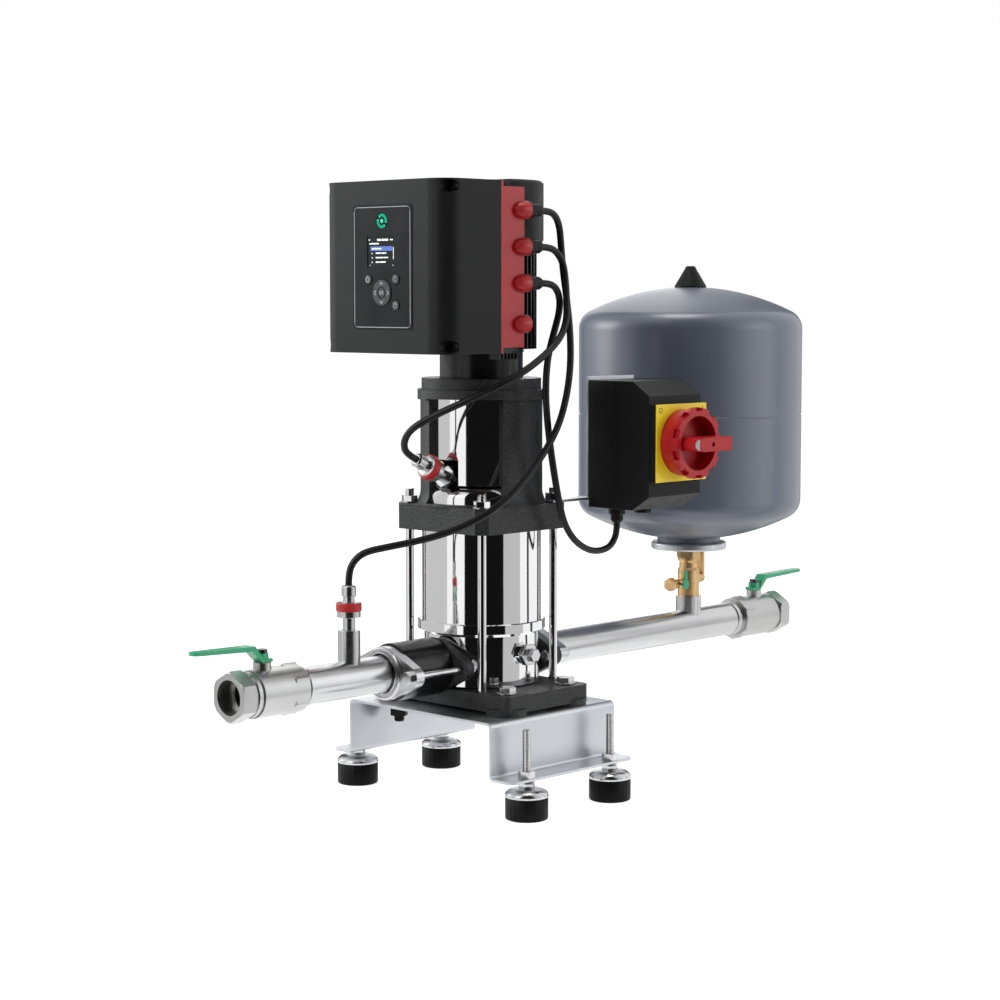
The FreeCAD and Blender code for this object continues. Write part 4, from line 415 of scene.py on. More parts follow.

# %% [markdown]
# ## A finish, built from those groups
# One helper builds a complete finish: a base colour that drifts a little, a roughness that
# drifts with it, and a fine relief. An optional paler tone mixed in at the grain's own cells is
# painted glints: it stands in for the light that the tips of a rough casting catch. What is the
# same all over is written straight on the shader's own sockets.

# %% Finish helper
def finish(name, colour, shade=0.8, metallic=0.0, rough=(0.4, 0.5), cloud=18.0, grain=600.0, relief=0.1,
           depth=0.0002, stretch=None, coat=0.0, specular=0.5, lines=None, painted_glint=None):
    """Material of one finish; shade darkens the drifting tone, rough is the range of roughness."""
    material, n, links = new_material(name)
    place = n.new("ShaderNodeTexCoord")
    shader = n.new("ShaderNodeBsdfPrincipled")
    end = n.new("ShaderNodeOutputMaterial")
    links.new(shader.outputs[0], end.inputs["Surface"])
    shader.inputs["Metallic"].default_value = metallic
    shader.inputs["Specular IOR Level"].default_value = specular
    shader.inputs["Coat Weight"].default_value = coat
    shader.inputs["Coat Roughness"].default_value = 0.08
    source = place.outputs["Object"]
    blotch = n.new("ShaderNodeGroup")
    blotch.node_tree = cloudy
    blotch.inputs["Scale"].default_value = cloud
    links.new(source, blotch.inputs["Vector"])
    mix = n.new("ShaderNodeMix")
    mix.data_type = "RGBA"
    mix.inputs["A"].default_value = (*[c * shade for c in colour], 1)
    mix.inputs["B"].default_value = (*colour, 1)
    links.new(blotch.outputs["Value"], mix.inputs["Factor"])
    hue = mix.outputs["Result"]
    bump = n.new("ShaderNodeBump")
    bump.inputs["Strength"].default_value = relief
    bump.inputs["Distance"].default_value = depth
    if lines:
        mapping = n.new("ShaderNodeMapping")
        mapping.inputs["Scale"].default_value = stretch
        links.new(source, mapping.inputs["Vector"])
        streak = n.new("ShaderNodeGroup")
        streak.node_tree = brushed_lines
        streak.inputs["Scale"].default_value = lines
        streak.inputs["Low"].default_value = rough[0]
        streak.inputs["High"].default_value = rough[1]
        links.new(mapping.outputs["Vector"], streak.inputs["Vector"])
        links.new(streak.outputs["Value"], shader.inputs["Roughness"])
        links.new(streak.outputs["Height"], bump.inputs["Height"])
    else:
        gloss = n.new("ShaderNodeGroup")
        gloss.node_tree = cloudy
        gloss.inputs["Scale"].default_value = cloud * 2.3
        gloss.inputs["Low"].default_value = rough[0]
        gloss.inputs["High"].default_value = rough[1]
        links.new(source, gloss.inputs["Vector"])
        links.new(gloss.outputs["Value"], shader.inputs["Roughness"])
        small = n.new("ShaderNodeGroup")
        small.node_tree = grainy
        small.inputs["Scale"].default_value = grain
        links.new(source, small.inputs["Vector"])
        links.new(small.outputs["Height"], bump.inputs["Height"])
        # painted glints: a paler tone at the grain's cells stands in for the light caught by a casting's tips
        if painted_glint:
            glint_mask = n.new("ShaderNodeMapRange")
            glint_mask.inputs["From Min"].default_value = 0.25
            glint_mask.inputs["From Max"].default_value = 0.75
            links.new(small.outputs["Pits"], glint_mask.inputs["Value"])
            pale = n.new("ShaderNodeMix")
            pale.data_type = "RGBA"
            pale.inputs["B"].default_value = (*painted_glint, 1)
            links.new(glint_mask.outputs["Result"], pale.inputs["Factor"])
            links.new(hue, pale.inputs["A"])
            hue = pale.outputs["Result"]
    links.new(hue, shader.inputs["Base Color"])
    links.new(bump.outputs["Normal"], shader.inputs["Normal"])
    return material


# %% [markdown]
# ## The finishes
# The set mixes polished, brushed and zinc-plated steel with black castings, moulded plastic,
# enamel and brass. Brushing runs round a turned piece and along a pipe, so each brushed finish
# stretches its noise along its own axis. Each roughness range stays on one side of 0.27:
# finishes that drifted over that value came out with blotches in trial renders.

# %% Finishes
LOOKS = {
    "galvanised_steel": dict(colour=(0.58, 0.6, 0.625), shade=0.93, metallic=1.0, rough=(0.32, 0.4), cloud=16,
        grain=260, relief=0.04, depth=0.0001),
    "zinc_steel": dict(colour=(0.72, 0.72, 0.73), shade=0.8, metallic=1.0, rough=(0.17, 0.26), cloud=90,
        grain=500, relief=0.06, depth=0.0001),
    # the paler speckle of the cast iron is painted glints, not a colour of the iron
    "black_cast_iron": dict(colour=(0.01, 0.01, 0.0105), shade=0.7, rough=(0.4, 0.54), cloud=30, grain=460,
        relief=0.7, depth=0.0006, specular=0.34, painted_glint=(0.026, 0.026, 0.027)),
    "black_motor_paint": dict(colour=(0.01, 0.01, 0.0105), shade=0.7, rough=(0.2, 0.265), cloud=30, grain=500,
        relief=0.14, depth=0.0003, specular=0.36),
    "polished_stainless": dict(colour=(0.9, 0.9, 0.905), shade=0.96, metallic=1.0, rough=(0.035, 0.08),
        cloud=12, relief=0.01, depth=0.0001, stretch=(1, 1, 0.05), lines=300),
    "brushed_stainless": dict(colour=(0.66, 0.66, 0.665), shade=0.95, metallic=1.0, rough=(0.21, 0.265),
        cloud=14, relief=0.015, depth=0.0001, stretch=(0.03, 1, 1), lines=420),
    "nickel_plated_brass": dict(colour=(0.56, 0.56, 0.555), shade=0.92, metallic=1.0, rough=(0.285, 0.34),
        cloud=24, grain=400, relief=0.03, depth=0.0001),
    "shaft_steel": dict(colour=(0.6, 0.6, 0.61), shade=0.85, metallic=1.0, rough=(0.2, 0.265), cloud=40,
        relief=0.04, depth=0.0001, stretch=(1, 1, 0.05), lines=500),
    "motor_laminations": dict(colour=(0.3, 0.2, 0.13), shade=0.6, metallic=1.0, rough=(0.4, 0.5), cloud=60,
        grain=300, relief=0.3, depth=0.0004),
    "black_plastic": dict(colour=(0.009, 0.009, 0.0095), shade=0.75, rough=(0.38, 0.48), cloud=20, grain=1100,
        relief=0.2, depth=0.0002, specular=0.17),
    "red_housing": dict(colour=(0.38, 0.007, 0.012), shade=0.82, rough=(0.34, 0.44), cloud=22, grain=900,
        relief=0.12, depth=0.0002, specular=0.42),
    "panel_plastic": dict(colour=(0.008, 0.0085, 0.009), shade=0.8, rough=(0.2, 0.265), cloud=14, grain=1200,
        relief=0.03, depth=0.0001, specular=0.22),
    "key_plastic": dict(colour=(0.009, 0.0095, 0.0105), shade=0.85, rough=(0.4, 0.5), cloud=40, grain=1200,
        relief=0.08, depth=0.0001),
    "red_knob_plastic": dict(colour=(0.42, 0.005, 0.008), shade=0.86, rough=(0.285, 0.36), cloud=25,
        grain=900, relief=0.04, depth=0.0002, specular=0.45),
    "red_ring_plastic": dict(colour=(0.42, 0.006, 0.009), shade=0.84, rough=(0.34, 0.44), cloud=60, grain=900,
        relief=0.08, depth=0.0002),
    "yellow_plate": dict(colour=(0.87, 0.66, 0.01), shade=0.93, rough=(0.36, 0.46), cloud=24, grain=900,
        relief=0.05, depth=0.0001),
    "green_enamel": dict(colour=(0.03, 0.37, 0.17), shade=0.88, rough=(0.285, 0.36), cloud=50, grain=500,
        relief=0.05, depth=0.0002, coat=0.3),
    "tank_enamel": dict(colour=(0.1, 0.115, 0.152), shade=0.95, rough=(0.285, 0.34), cloud=6, grain=160,
        relief=0.04, depth=0.0002, specular=1.0),
    "tank_rubber": dict(colour=(0.02, 0.02, 0.02), shade=0.8, rough=(0.6, 0.7), cloud=20, grain=500,
        relief=0.2, depth=0.0003),
    "valve_brass": dict(colour=(0.74, 0.49, 0.24), shade=0.82, metallic=1.0, rough=(0.285, 0.4), cloud=70,
        grain=420, relief=0.16, depth=0.0003),
    "cable_rubber": dict(colour=(0.006, 0.006, 0.0065), shade=0.8, rough=(0.36, 0.46), cloud=40, grain=900,
        relief=0.12, depth=0.0002, specular=0.3),
    "screw_black": dict(colour=(0.02, 0.02, 0.02), shade=0.8, metallic=1.0, rough=(0.4, 0.5), cloud=60,
        grain=700, relief=0.1, depth=0.0001),
    "foot_rubber": dict(colour=(0.003, 0.003, 0.003), shade=0.8, rough=(0.4, 0.55), cloud=40, grain=700,
        relief=0.15, depth=0.0002, specular=0.14),
    "black_enamel": dict(colour=(0.007, 0.007, 0.0075), shade=0.8, rough=(0.16, 0.24), cloud=30, grain=500,
        relief=0.12, depth=0.0003, specular=0.45),
    "dark_steel": dict(colour=(0.07, 0.075, 0.075), shade=0.8, metallic=1.0, rough=(0.18, 0.26), cloud=50,
        grain=700, relief=0.05, depth=0.0001),
    # painted shade: a darkened copy of the chrome that stands for the shade deep in the valve bores
    "painted_shade_chrome": dict(colour=(0.14, 0.14, 0.14), shade=0.85, metallic=1.0, rough=(0.2, 0.265), cloud=30,
        grain=700, relief=0.02, depth=0.0001),
}
finishes = {name: finish(name, **look) for name, look in LOOKS.items()}
# The balls deep in the valve bores take the darkened chrome, as painted shade.
own_finish = {"check_valve_housing": finishes["black_enamel"], "inlet_ball": finishes["painted_shade_chrome"],
              "outlet_ball": finishes["painted_shade_chrome"]}
print("finishes", len(finishes))

# %% [markdown]
# ## Broken edges
# No real casting, pressing or nut has a knife edge: each has a small radius that catches a line
# of light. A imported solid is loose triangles, so we take a copy of it, merge its corners and
# flat faces, and let a Bevel modifier round every edge sharper than a set angle. The new strips
# would tilt the shading of the large faces next to them, so Weighted Normal lets those lead.

# %% Copies with broken edges
def refined(node, width, material=None, angle=32, segments=2, floor=None):
    """Let a copy with rounded edges stand for a solid; floor is where it is cut off below."""
    bm = bmesh.new()
    bm.from_mesh(nodes[node].data)
    bmesh.ops.remove_doubles(bm, verts=bm.verts, dist=3e-6)
    if floor:
        cut_off(bm, (0, 0, floor * MM), (0, 0, -1))
    bmesh.ops.dissolve_limit(bm, angle_limit=math.radians(0.6), verts=bm.verts, edges=bm.edges)
    piece = link_object(node + "_dressed", bm, material or finishes[node_slot[node]], angle)
    bevel = piece.modifiers.new("edge", "BEVEL")
    bevel.width = width * MM
    bevel.segments = segments
    bevel.limit_method = "ANGLE"
    bevel.angle_limit = math.radians(angle)
    flatten = piece.modifiers.new("flatten", "WEIGHTED_NORMAL")
    flatten.mode = "FACE_AREA"
    flatten.weight = 90
    flatten.keep_sharp = True
    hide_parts(node)
    seated(piece, node)


edge_widths = {  # width of each broken edge in millimetres
    "base_bracket": 0.5, "base_plate": 1.6, "hex_fasteners": 0.5, "pump_chamber": 0.5, "port_flanges": 1.0,
    "drain_plug": 0.8, "tie_rods": 0.4, "motor_stool": 1.4, "pump_head": 0.4, "motor_frame": 0.5,
    "fan_cover": 0.8, "converter_base": 0.9, "converter_cover": 1.3, "control_panel": 0.4,
    "cable_glands": 0.6, "sensor_bodies": 0.4, "sensor_rings": 0.5, "suction_pipe": 0.5,
    "discharge_pipe": 0.5, "check_valve_housing": 1.2, "ball_valve_bodies": 0.6, "inlet_lever": 0.8,
    "outlet_lever": 0.8, "tank_flange": 0.8, "tank_valve_body": 0.5, "tank_valve_lever": 0.8,
    "drain_lever": 0.5, "switch_bracket": 0.5, "switch_base": 1.2, "switch_cover": 1.6, "switch_plate": 0.3,
    "switch_handle": 0.9, "home_button": 0.3, "back_button": 0.3, "power_button": 0.3, "ok_button": 0.3,
    "navigation_ring": 0.3, "tank_cap": 0.8,
}
for node, width in edge_widths.items():
    refined(node, width, own_finish.get(node))
MADE_ANEW = ("cable_", "foot_")
for node, item in nodes.items():
    if node not in edge_widths and not node.startswith(MADE_ANEW):
        item.data.materials.clear()
        item.data.materials.append(own_finish.get(node) or finishes[node_slot[node]])
print("refined", len(edge_widths))

# %% [markdown]
# ## Dome of the pump head
# The head's dome swells out of the stool's mouth before it turns in, and mirrors the whole room
# in its shoulder. The frame's solid is a plainer dome, so a turned shell with a fuller shoulder
# stands over it, and the guards, in front of the coupling, end a little higher, above the dome.

# %% Dome and guards
DOME = [(0, 347.0), (70.0, 347.0), (70.0, 355.0), (69.5, 358.8), (68.0, 362.4), (65.4, 365.8), (61.6, 369.0),
        (56.6, 371.8), (50.0, 374.3), (42.0, 376.4), (33.0, 377.8), (22.5, 378.5), (0, 378.6)]
GUARD_FLOOR = 370.5
seated(link_object("dome_shell", lathe(DOME, 128), finishes["polished_stainless"], 40), "pump_head")
refined("coupling_guards", 0.2, floor=GUARD_FLOOR)

# %% [markdown]
# ## Small turned and six-sided details
# The pipes end in turned hubs on their oval flanges, the upper sensor screws into a dark hexagon
# on the dome, a steel cap closes each sensor above its red ring, and the moulded bosses round
# the cable openings are full and round. Each is one lathe profile or prism along the axis of
# what carries it.

# %% Hubs, hexagon, caps and bosses
PORT_HEIGHT = 160.3
SENSOR_SEAT, SENSOR_AXIS = (-54, -5, 375), (-0.8988, 0, 0.4384)
HUB = [(21.3, -0.5), (30.0, -0.5), (30.0, 1.2), (28.6, 2.2), (27.4, 2.2), (26.8, 0.9), (25.8, 0.9),
       (25.2, 3.2), (23.4, 4.0), (21.3, 4.0), (21.3, -0.5)]
hubs = [(lathe(HUB, 72), aimed((x, 0, PORT_HEIGHT), (side, 0, 0))) for x, side in ((-160, -1), (92, 1))]
seated(link_object("flange_hubs", gather(hubs), finishes["zinc_steel"], 30), "suction_pipe")
hexagon = gather([(prism(6, 27.8, 0.5, 13.6, 1.0), aimed(SENSOR_SEAT, SENSOR_AXIS))])
seated(link_object("sensor_hexagon", hexagon, finishes["dark_steel"], 28), "sensor_bodies")
CAP = [(6.4, 0), (12.6, 0), (12.6, 0.7), (11.9, 1.1), (6.4, 1.1), (6.4, 0)]
caps = [(lathe(CAP, 48), aimed(at, axis))
        for at, axis in (((-94.5, -5, 394.7), SENSOR_AXIS), ((-212, 0, 247.1), (0, 0, 1)))]
seated(link_object("sensor_caps", gather(caps), finishes["zinc_steel"], 30), "sensor_bodies")

BOSS_RADIUS, BOSS_LENGTH = 10.4, 18.2
BOSS = [(0, -1.0), (BOSS_RADIUS, -1.0)]
for angle in range(0, 90, 9):
    bend = math.radians(angle)
    BOSS.append((BOSS_RADIUS * math.cos(bend) ** 0.9, BOSS_LENGTH * math.sin(bend)))
BOSS.append((0, BOSS_LENGTH))
bosses = [(lathe(BOSS, 40), aimed((-34, -104, z), (-1, 0, 0))) for z in (686, 645, 604, 558)]
seated(link_object("gland_bosses", gather(bosses), finishes["red_housing"], 40), "converter_base")

# %% [markdown]
# ## Cables
# Three round rubber cables leave the glands on the converter. Each is one smooth NURBS line
# through the points where the photograph shows it, with the sheath as its bevel. Order 3 keeps
# the line close to the points without kinks. Routes are points in millimetres.

# %% Cables
suction_route = [
    (-9, -104, 686), (5.5, -104, 686), (19, -101.5, 680.5), (29, -98, 668.5), (34, -95.5, 650),
    (38, -95, 620), (40.5, -99, 586), (40, -105, 548), (35.5, -110, 509), (25, -113, 472), (8, -115, 437),
    (-23, -116, 403), (-58, -116, 373), (-91, -106, 348), (-121, -84, 329), (-151, -57, 317),
    (-180, -30.5, 309.5), (-198.5, -13, 304.2), (-207.2, -4.7, 295.2), (-212, 0, 281.8), (-212, 0, 266.8),
]
head_route = [
    (-9, -104, 645), (5.5, -104, 645), (18.5, -104, 639.5), (27.5, -105, 627.5), (30, -106.5, 609),
    (29, -109.5, 583), (25, -113, 560), (10, -117, 541), (-17, -120.5, 524), (-50, -121, 506.5),
    (-79, -109, 490), (-101, -88, 476), (-116, -64, 463.5), (-128, -44, 452.4), (-138.5, -28.5, 441.5),
    (-139.5, -17.7, 431.4), (-135.5, -9.5, 420.5), (-126.8, -5, 410.5), (-112.42, -5, 403.49),
]
supply_route = [
    (-9, -104, 604), (5.5, -104, 604), (18.8, -102.5, 598.5), (27.5, -100, 587), (28.5, -98.5, 571.5),
    (20.5, -97.5, 548), (7, -100, 520), (0, -103, 482), (4, -102.5, 446), (11, -101.5, 412),
    (18.5, -101, 380), (27, -100, 350), (38, -98, 325), (55, -96.5, 305.5), (77, -95, 292.5),
    (99, -93, 287), (120.7, -92.4, 288.8), (131.7, -92, 296), (138, -92, 307.6), (138, -92, 319),
]


def cable(name, node, route):
    """Round cable along a route."""
    curve = bpy.data.curves.new(name, "CURVE")
    curve.dimensions = "3D"
    curve.resolution_u = 8
    curve.bevel_depth = 4.0 * MM
    curve.bevel_resolution = 5
    curve.use_fill_caps = True
    spline = curve.splines.new("NURBS")
    spline.points.add(len(route) - 1)
    for point, (x, y, z) in zip(spline.points, route):
        point.co = (x * MM, y * MM, z * MM, 1.0)
    spline.order_u = 3
    spline.use_endpoint_u = True
    piece = bpy.data.objects.new(name, curve)
    bpy.context.scene.collection.objects.link(piece)
    curve.materials.append(finishes["cable_rubber"])
    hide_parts(node)
    seated(piece, node)


cable("suction_cable", "cable_suction", suction_route)
cable("head_cable", "cable_head", head_route)
cable("supply_cable", "cable_supply", supply_route)

# %% [markdown]
# ## Levelling feet
# Each foot is a rubber pad bonded under a domed steel cup, with a hexagon and a threaded stud
# on it. The solid of the frame is one plain turned shape, so the pad and the steel are made new
# here, from two lathe profiles. Shallow flutes in the pad give the rubber its grip: we pull the
# rim's points in by a wave of the angle.

# %% Feet
PAD = [(0, 0), (22.5, 0), (24.2, 1.0), (24.6, 3), (24.6, 24.6), (23.8, 25.6), (0, 25.6)]
CUP = [(0, 25.8), (24.0, 25.8), (24.9, 26.0), (25.0, 26.6), (25.0, 28.2), (24.6, 29.6), (23.4, 31.4),
       (20.5, 33.6), (16.5, 35.0), (12.0, 35.8), (0, 36.0)]
STUD = [(0, 43.0), (4.55, 43.0), (4.55, 101.0), (3.7, 101.9), (0, 101.9)]
PAD_RIM = 20.0
FLUTES, FLUTE_DEPTH = 24, 0.006


def foot(node):
    """Rubber pad and steel cup with a threaded stud, in place of a foot's plain solid."""
    low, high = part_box(node)
    x, y = (low[0] + high[0]) / 2 / MM, (low[1] + high[1]) / 2 / MM
    here = aimed((x, y, 0))
    pad = lathe(PAD, 96)
    for vert in pad.verts:
        if math.hypot(vert.co.x, vert.co.y) > PAD_RIM * MM:
            wave = 1 - FLUTE_DEPTH * (1 + math.cos(FLUTES * math.atan2(vert.co.y, vert.co.x)))
            vert.co.x *= wave
            vert.co.y *= wave
    seated(link_object(node + "_pad", gather([(pad, here)]), finishes["foot_rubber"], 40), node)
    steel = gather([(lathe(CUP, 96), here), (prism(6, 17.0, 35.6, 44.0, 0.7), here), (lathe(STUD, 32), here),
                    (thread(5.0, 1.6, 46.0), aimed((x, y, 55.2)))])
    piece = link_object(node + "_steel", steel, finishes["zinc_steel"], 28)
    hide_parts(node)
    seated(piece, node)


for number in range(1, 5):
    foot("foot_%d" % number)
print("feet", 4)

# %% [markdown]
# ## Threads and washers
# The four tie rods and the base bolts end in a few turns of thread past their nuts, and
# washers spread their load on the castings. They are small, but they tell the eye how big the
# set is. A ridge wound on the plain rod end is enough.

# %% Rod ends
rod_parts = []
for x in (-60, 60):
    for y in (-60, 60):
        rod_parts.append((thread(5.3, 1.5, 7.5, 0.45), aimed((x, y, 356.0))))
        rod_parts.append((washer(5.2, 10.9, 346.6, 348.3), aimed((x, y, 0))))
seated(link_object("rod_threads_and_washers", gather(rod_parts), finishes["zinc_steel"], 28), "hex_fasteners")

BOLT_END = [(0, 79.5), (5.0, 79.5), (5.85, 80.5), (5.85, 92.5), (0, 92.5)]
base_parts = []
lock_parts = []
for x in (-50, 50):
    for y in (-90, 90):
        base_parts.append((washer(6.3, 11.9, 134.1, 135.7), aimed((x, y, 0))))
        lock_parts.append((prism(6, 19.0, 86.5, 96.8, 0.7), aimed((x, y, 0))))
        lock_parts.append((thread(6.3, 1.75, 7.5, 0.5), aimed((x, y, 80.0))))
        lock_parts.append((lathe(BOLT_END, 28), aimed((x, y, 0))))
seated(link_object("base_washers", gather(base_parts), finishes["zinc_steel"], 28), "hex_fasteners")
seated(link_object("base_lock_nuts", gather(lock_parts), finishes["screw_black"], 28), "hex_fasteners")

# %% [markdown]
# ## Cover screws
# The converter's cover is held by four screws that sit deep in round wells at its corners, so
# only their heads' rims show. A turned head with a hollow for the key is set at each well's
# floor.

# %% Cover screws
SCREW_HEAD = [(0, 0), (5.4, 0), (5.4, 3.6), (4.8, 4.2), (3.2, 4.2), (2.9, 1.6), (0, 1.6)]
WELL_FLOOR, WELL_Y = -138.9, 96.5
screws = [(lathe(SCREW_HEAD, 32), aimed((WELL_FLOOR, side * WELL_Y, z), (-1, 0, 0)))
          for z in (533.5, 710.1) for side in (-1, 1)]
seated(link_object("cover_screws", gather(screws), finishes["screw_black"], 30), "converter_cover")

# %% [markdown]
# ## The control panel's face
# A thin pale line frames the panel, a round light shows the state, and a small screen lists a
# few rows, one of them marked. Signs on the keys are raised bars of pale plastic. Flat light
# and marks are all built by two helpers, one for a bar between two points and one for an arc
# made of such bars, because they lie in one plane and stay tiny.

# %% Helpers for flat marks
def bar(start, stop, width, face, height=0.25):
    """Flat bar between two (y, z) points in millimetres, standing off a face at x."""
    bm = bmesh.new()
    bmesh.ops.create_cube(bm, size=1.0)
    run = Vector((0, stop[0] - start[0], stop[1] - start[1]))
    bmesh.ops.scale(bm, vec=(height * MM, (run.length + width * 0.5) * MM, width * MM), verts=bm.verts)
    lean = math.atan2(run.z, run.y)
    middle = Vector((face - height / 2, (start[0] + stop[0]) / 2, (start[1] + stop[1]) / 2)) * MM
    return bm, Matrix.Translation(middle) @ Matrix.Rotation(lean, 4, "X")


def arc(centre, radius, begin, stop, width, face, pieces=14, height=0.25):
    """Arc of bars round a (y, z) centre, its angles in degrees from +Y."""
    points = []
    for index in range(pieces + 1):
        angle = math.radians(begin + (stop - begin) * index / pieces)
        points.append((centre[0] + radius * math.cos(angle), centre[1] + radius * math.sin(angle)))
    return [bar(a, b, width, face, height) for a, b in zip(points, points[1:])]


def lamp_material(name, colour, strength):
    """Plastic that is lit from behind."""
    material = finish(name, colour, shade=0.9, rough=(0.3, 0.4), cloud=60, grain=900, relief=0.02,
                      depth=0.0001)
    shader = material.node_tree.nodes["Principled BSDF"]
    shader.inputs["Emission Color"].default_value = (*colour, 1)
    shader.inputs["Emission Strength"].default_value = strength
    return material


screen_white = lamp_material("screen_white", (0.7, 0.73, 0.76), 0.4)
screen_blue = lamp_material("screen_blue", (0.04, 0.1, 0.36), 0.45)
ready_green = lamp_material("ready_green", (0.01, 0.46, 0.3), 0.6)
PRINT = dict(shade=0.9, rough=(0.4, 0.5), cloud=60, grain=900, relief=0.03, depth=0.0001)
sign_grey = finish("sign_grey", (0.4, 0.42, 0.44), **PRINT)
line_grey = finish("line_grey", (0.3, 0.305, 0.31), **PRINT)

# %% Panel line, light and screen
PANEL_FACE = -161.6
KEY_FACE = -162.8
SCREEN_FACE = -160.8
PANEL_Y = -3.0
SCREEN_Z = 638.3
PANEL_Z = 621.6
LINE_WIDTH, LINE_HEIGHT = 0.9, 0.2
half_width, half_height, bend = 45.6, 67.2, 4.5
across, upward = half_width - bend, half_height - bend
frame_parts = []
for side in (-1, 1):
    y, z = PANEL_Y + side * half_width, PANEL_Z + side * half_height
    level = ((PANEL_Y - across, z), (PANEL_Y + across, z))
    upright = ((y, PANEL_Z - upward), (y, PANEL_Z + upward))
    frame_parts += [bar(*ends, LINE_WIDTH, PANEL_FACE, LINE_HEIGHT) for ends in (level, upright)]
for side_y, side_z, begin in ((1, 1, 0), (-1, 1, 90), (-1, -1, 180), (1, -1, 270)):
    centre = (PANEL_Y + side_y * across, PANEL_Z + side_z * upward)
    frame_parts += arc(centre, bend, begin, begin + 90, LINE_WIDTH, PANEL_FACE, 8, LINE_HEIGHT)
seated(link_object("panel_line", gather(frame_parts), line_grey), "control_panel")

light_centre = (PANEL_Y, 673.3)
light_parts = []
for begin in (50, 230):
    light_parts += arc(light_centre, 6.6, begin, begin + 140, 2.8, PANEL_FACE + 0.1, 16, 0.4)
light_parts.append((lathe([(0, 0), (2.2, 0), (2.2, 0.3), (0, 0.3)], 24),
                    aimed((PANEL_FACE, *light_centre), (-1, 0, 0))))
seated(link_object("ready_light", gather(light_parts), ready_green), "control_panel")

marked = bar((PANEL_Y + 18.5, SCREEN_Z + 4.2), (PANEL_Y - 15.0, SCREEN_Z + 4.2), 5.0, SCREEN_FACE, 0.15)
seated(link_object("screen_marked_row", gather([marked]), screen_blue), "control_panel")

# Each row's dash: start and end from the screen's middle, height, and width
SCREEN_ROWS = [(22.0, 20.5, 14.0, 1.4), (8.0, 2.0, 14.0, 2.2), (0.0, -9.0, 14.0, 2.2),
               (-13.0, -17.0, 14.0, 1.4), (21.0, 6.0, 9.8, 1.5), (17.0, 13.0, 4.2, 1.6),
               (11.5, 2.0, 4.2, 1.6), (10.5, 3.0, -0.8, 1.5), (1.5, -6.0, -0.8, 1.5),
               (10.5, -0.5, -5.8, 1.5), (-2.0, -9.0, -5.8, 1.5), (10.5, 5.0, -10.8, 1.5),
               (3.5, -5.0, -10.8, 1.5), (17.5, 16.5, -1.0, 1.2), (17.0, 16.0, -6.0, 1.2),
               (17.5, 16.5, -11.0, 1.2), (20.5, 20.2, -14.5, 1.2), (-17.0, -17.3, -14.5, 1.2)]
rows = [bar((PANEL_Y + a, SCREEN_Z + z), (PANEL_Y + b, SCREEN_Z + z), w, SCREEN_FACE - 0.15, 0.15)
        for a, b, z, w in SCREEN_ROWS]
rows.append(bar((PANEL_Y - 18.0, SCREEN_Z + 5.5), (PANEL_Y - 18.0, SCREEN_Z - 7.5), 1.0, SCREEN_FACE - 0.15,
                0.15))
seated(link_object("screen_rows", gather(rows), screen_white), "control_panel")

# %% [markdown]
# ## Signs on the keys
# A house, a turned-back arrow, a power sign, four chevrons and the word OK. Each sign rides on
# its own key, so that it sinks with it. The word is a text curve that is made a mesh first and
# then moved to its place.

# %% Key signs
RING = (PANEL_Y, 593.1)
SIDE_KEY = 22.5


def chevron(centre, direction, reach=2.2):
    """Two bars that meet in a point, in one of the four directions of the ring."""
    dy, dz = direction
    tip = (centre[0] + dy * reach * 0.6, centre[1] + dz * reach * 0.6)
    tails = [(centre[0] - dy * reach * 0.6 + s * dz * reach, centre[1] - dz * reach * 0.6 + s * dy * reach)
             for s in (-1, 1)]
    return [bar(tail, tip, 0.9, KEY_FACE) for tail in tails]


def sign(name, parts, node):
    """Raised sign that rides on its key."""
    seated(link_object(name, gather(parts), sign_grey), node)


sign("ring_signs", sum((chevron((RING[0] + 10.6 * dy, RING[1] + 10.6 * dz), (dy, dz))
                        for dy, dz in ((0, 1), (0, -1), (1, 0), (-1, 0))), []), "navigation_ring")

SIGN_WIDTH = 0.8
house_y, house_z = PANEL_Y + SIDE_KEY, 608.2
house = []
for side in (-1, 1):
    wall_y = house_y + side * 2.1
    house.append(bar((house_y + side * 3.0, house_z + 0.4), (house_y, house_z + 3.0), SIGN_WIDTH, KEY_FACE))
    house.append(bar((wall_y, house_z - 2.6), (wall_y, house_z + 0.2), SIGN_WIDTH, KEY_FACE))
house.append(bar((house_y - 2.1, house_z - 2.6), (house_y + 2.1, house_z - 2.6), SIGN_WIDTH, KEY_FACE))
sign("house_sign", house, "home_button")

back_y, back_z = PANEL_Y - SIDE_KEY, 608.2
back = arc((back_y, back_z), 2.5, -150, 110, SIGN_WIDTH, KEY_FACE)
for rise in (3.6, 1.0):
    back.append(bar((back_y + 0.6, back_z + rise), (back_y - 1.2, back_z + 2.4), SIGN_WIDTH, KEY_FACE))
sign("back_sign", back, "back_button")

power_y, power_z = PANEL_Y - SIDE_KEY, 578.9
power = arc((power_y, power_z), 2.6, 125, 415, SIGN_WIDTH, KEY_FACE)
power.append(bar((power_y, power_z + 0.6), (power_y, power_z + 3.4), SIGN_WIDTH, KEY_FACE))
sign("power_sign", power, "power_button")


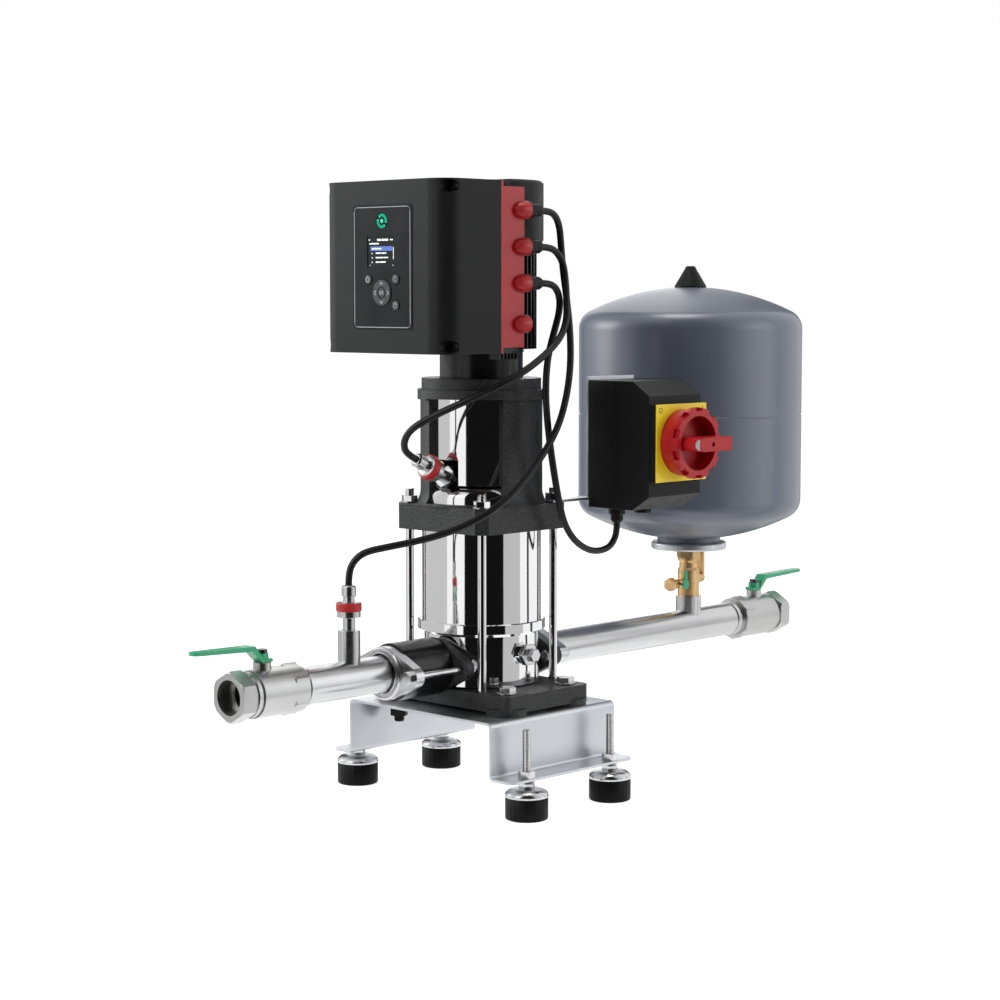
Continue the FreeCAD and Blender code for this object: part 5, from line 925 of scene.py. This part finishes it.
def word(name, text, size, matrix, node, material, height=0.12):
    """Short word as a mesh, laid on a face by a matrix."""
    curve = bpy.data.curves.new(name, "FONT")
    curve.body = text
    curve.size = size * MM
    curve.extrude = height * MM
    curve.align_x = "CENTER"
    curve.align_y = "CENTER"
    holder = bpy.data.objects.new(name + "_curve", curve)
    bpy.context.scene.collection.objects.link(holder)
    bpy.context.view_layer.update()
    mesh = bpy.data.meshes.new_from_object(holder.evaluated_get(bpy.context.evaluated_depsgraph_get()))
    bpy.data.objects.remove(holder)
    bm = bmesh.new()
    bm.from_mesh(mesh)
    bmesh.ops.remove_doubles(bm, verts=bm.verts, dist=1e-6)
    bmesh.ops.transform(bm, matrix=matrix, verts=bm.verts)
    return seated(link_object(name, bm, material), node)


facing_left = Matrix(((0, 0, -1, 0), (-1, 0, 0, 0), (0, 1, 0, 0), (0, 0, 0, 1)))
ok_place = Matrix.Translation(Vector((KEY_FACE - 0.08, *RING)) * MM) @ facing_left
word("ok_word", "OK", 5.4, ok_place, "ok_button", sign_grey)

# %% [markdown]
# ## Marks on the isolating switch
# The yellow plate carries O and I beside the knob, and the grip's end has a pale insert that
# points to them. The letters are generic, and tell the knob's two positions.

# %% Switch marks
SWITCH = (157.0, 418.0)
PLATE_FACE = -176.0
facing_front = Matrix(((1, 0, 0, 0), (0, 0, -1, 0), (0, 1, 0, 0), (0, 0, 0, 1)))
black_print = finish("black_print", (0.01, 0.01, 0.01), **PRINT)
MARK_OFFSET = 38.5
for label, text, side in (("off_mark", "O", -1), ("on_mark", "I", 1)):
    at = Vector((SWITCH[0] + side * MARK_OFFSET, PLATE_FACE - 0.08, SWITCH[1] + MARK_OFFSET)) * MM
    word(label, text, 9.0, Matrix.Translation(at) @ facing_front, "switch_plate", black_print)
insert = lathe([(0, 0), (6.2, 0), (6.2, 1.0), (5.6, 1.5), (0, 1.5)], 40)
cut_off(insert, (0, 0, 0), (0, -1, 0))
bmesh.ops.recalc_face_normals(insert, faces=insert.faces)
insert_grey = finish("insert_grey", (0.42, 0.43, 0.44), shade=0.9, rough=(0.35, 0.45), cloud=60, grain=900,
                     relief=0.04, depth=0.0001)
insert_place = aimed((SWITCH[0] - 28.6, -227.6, SWITCH[1]), (-1, 0, 0))
bmesh.ops.transform(insert, matrix=insert_place, verts=insert.verts)
seated(link_object("grip_insert", insert, insert_grey, 30), "switch_handle")
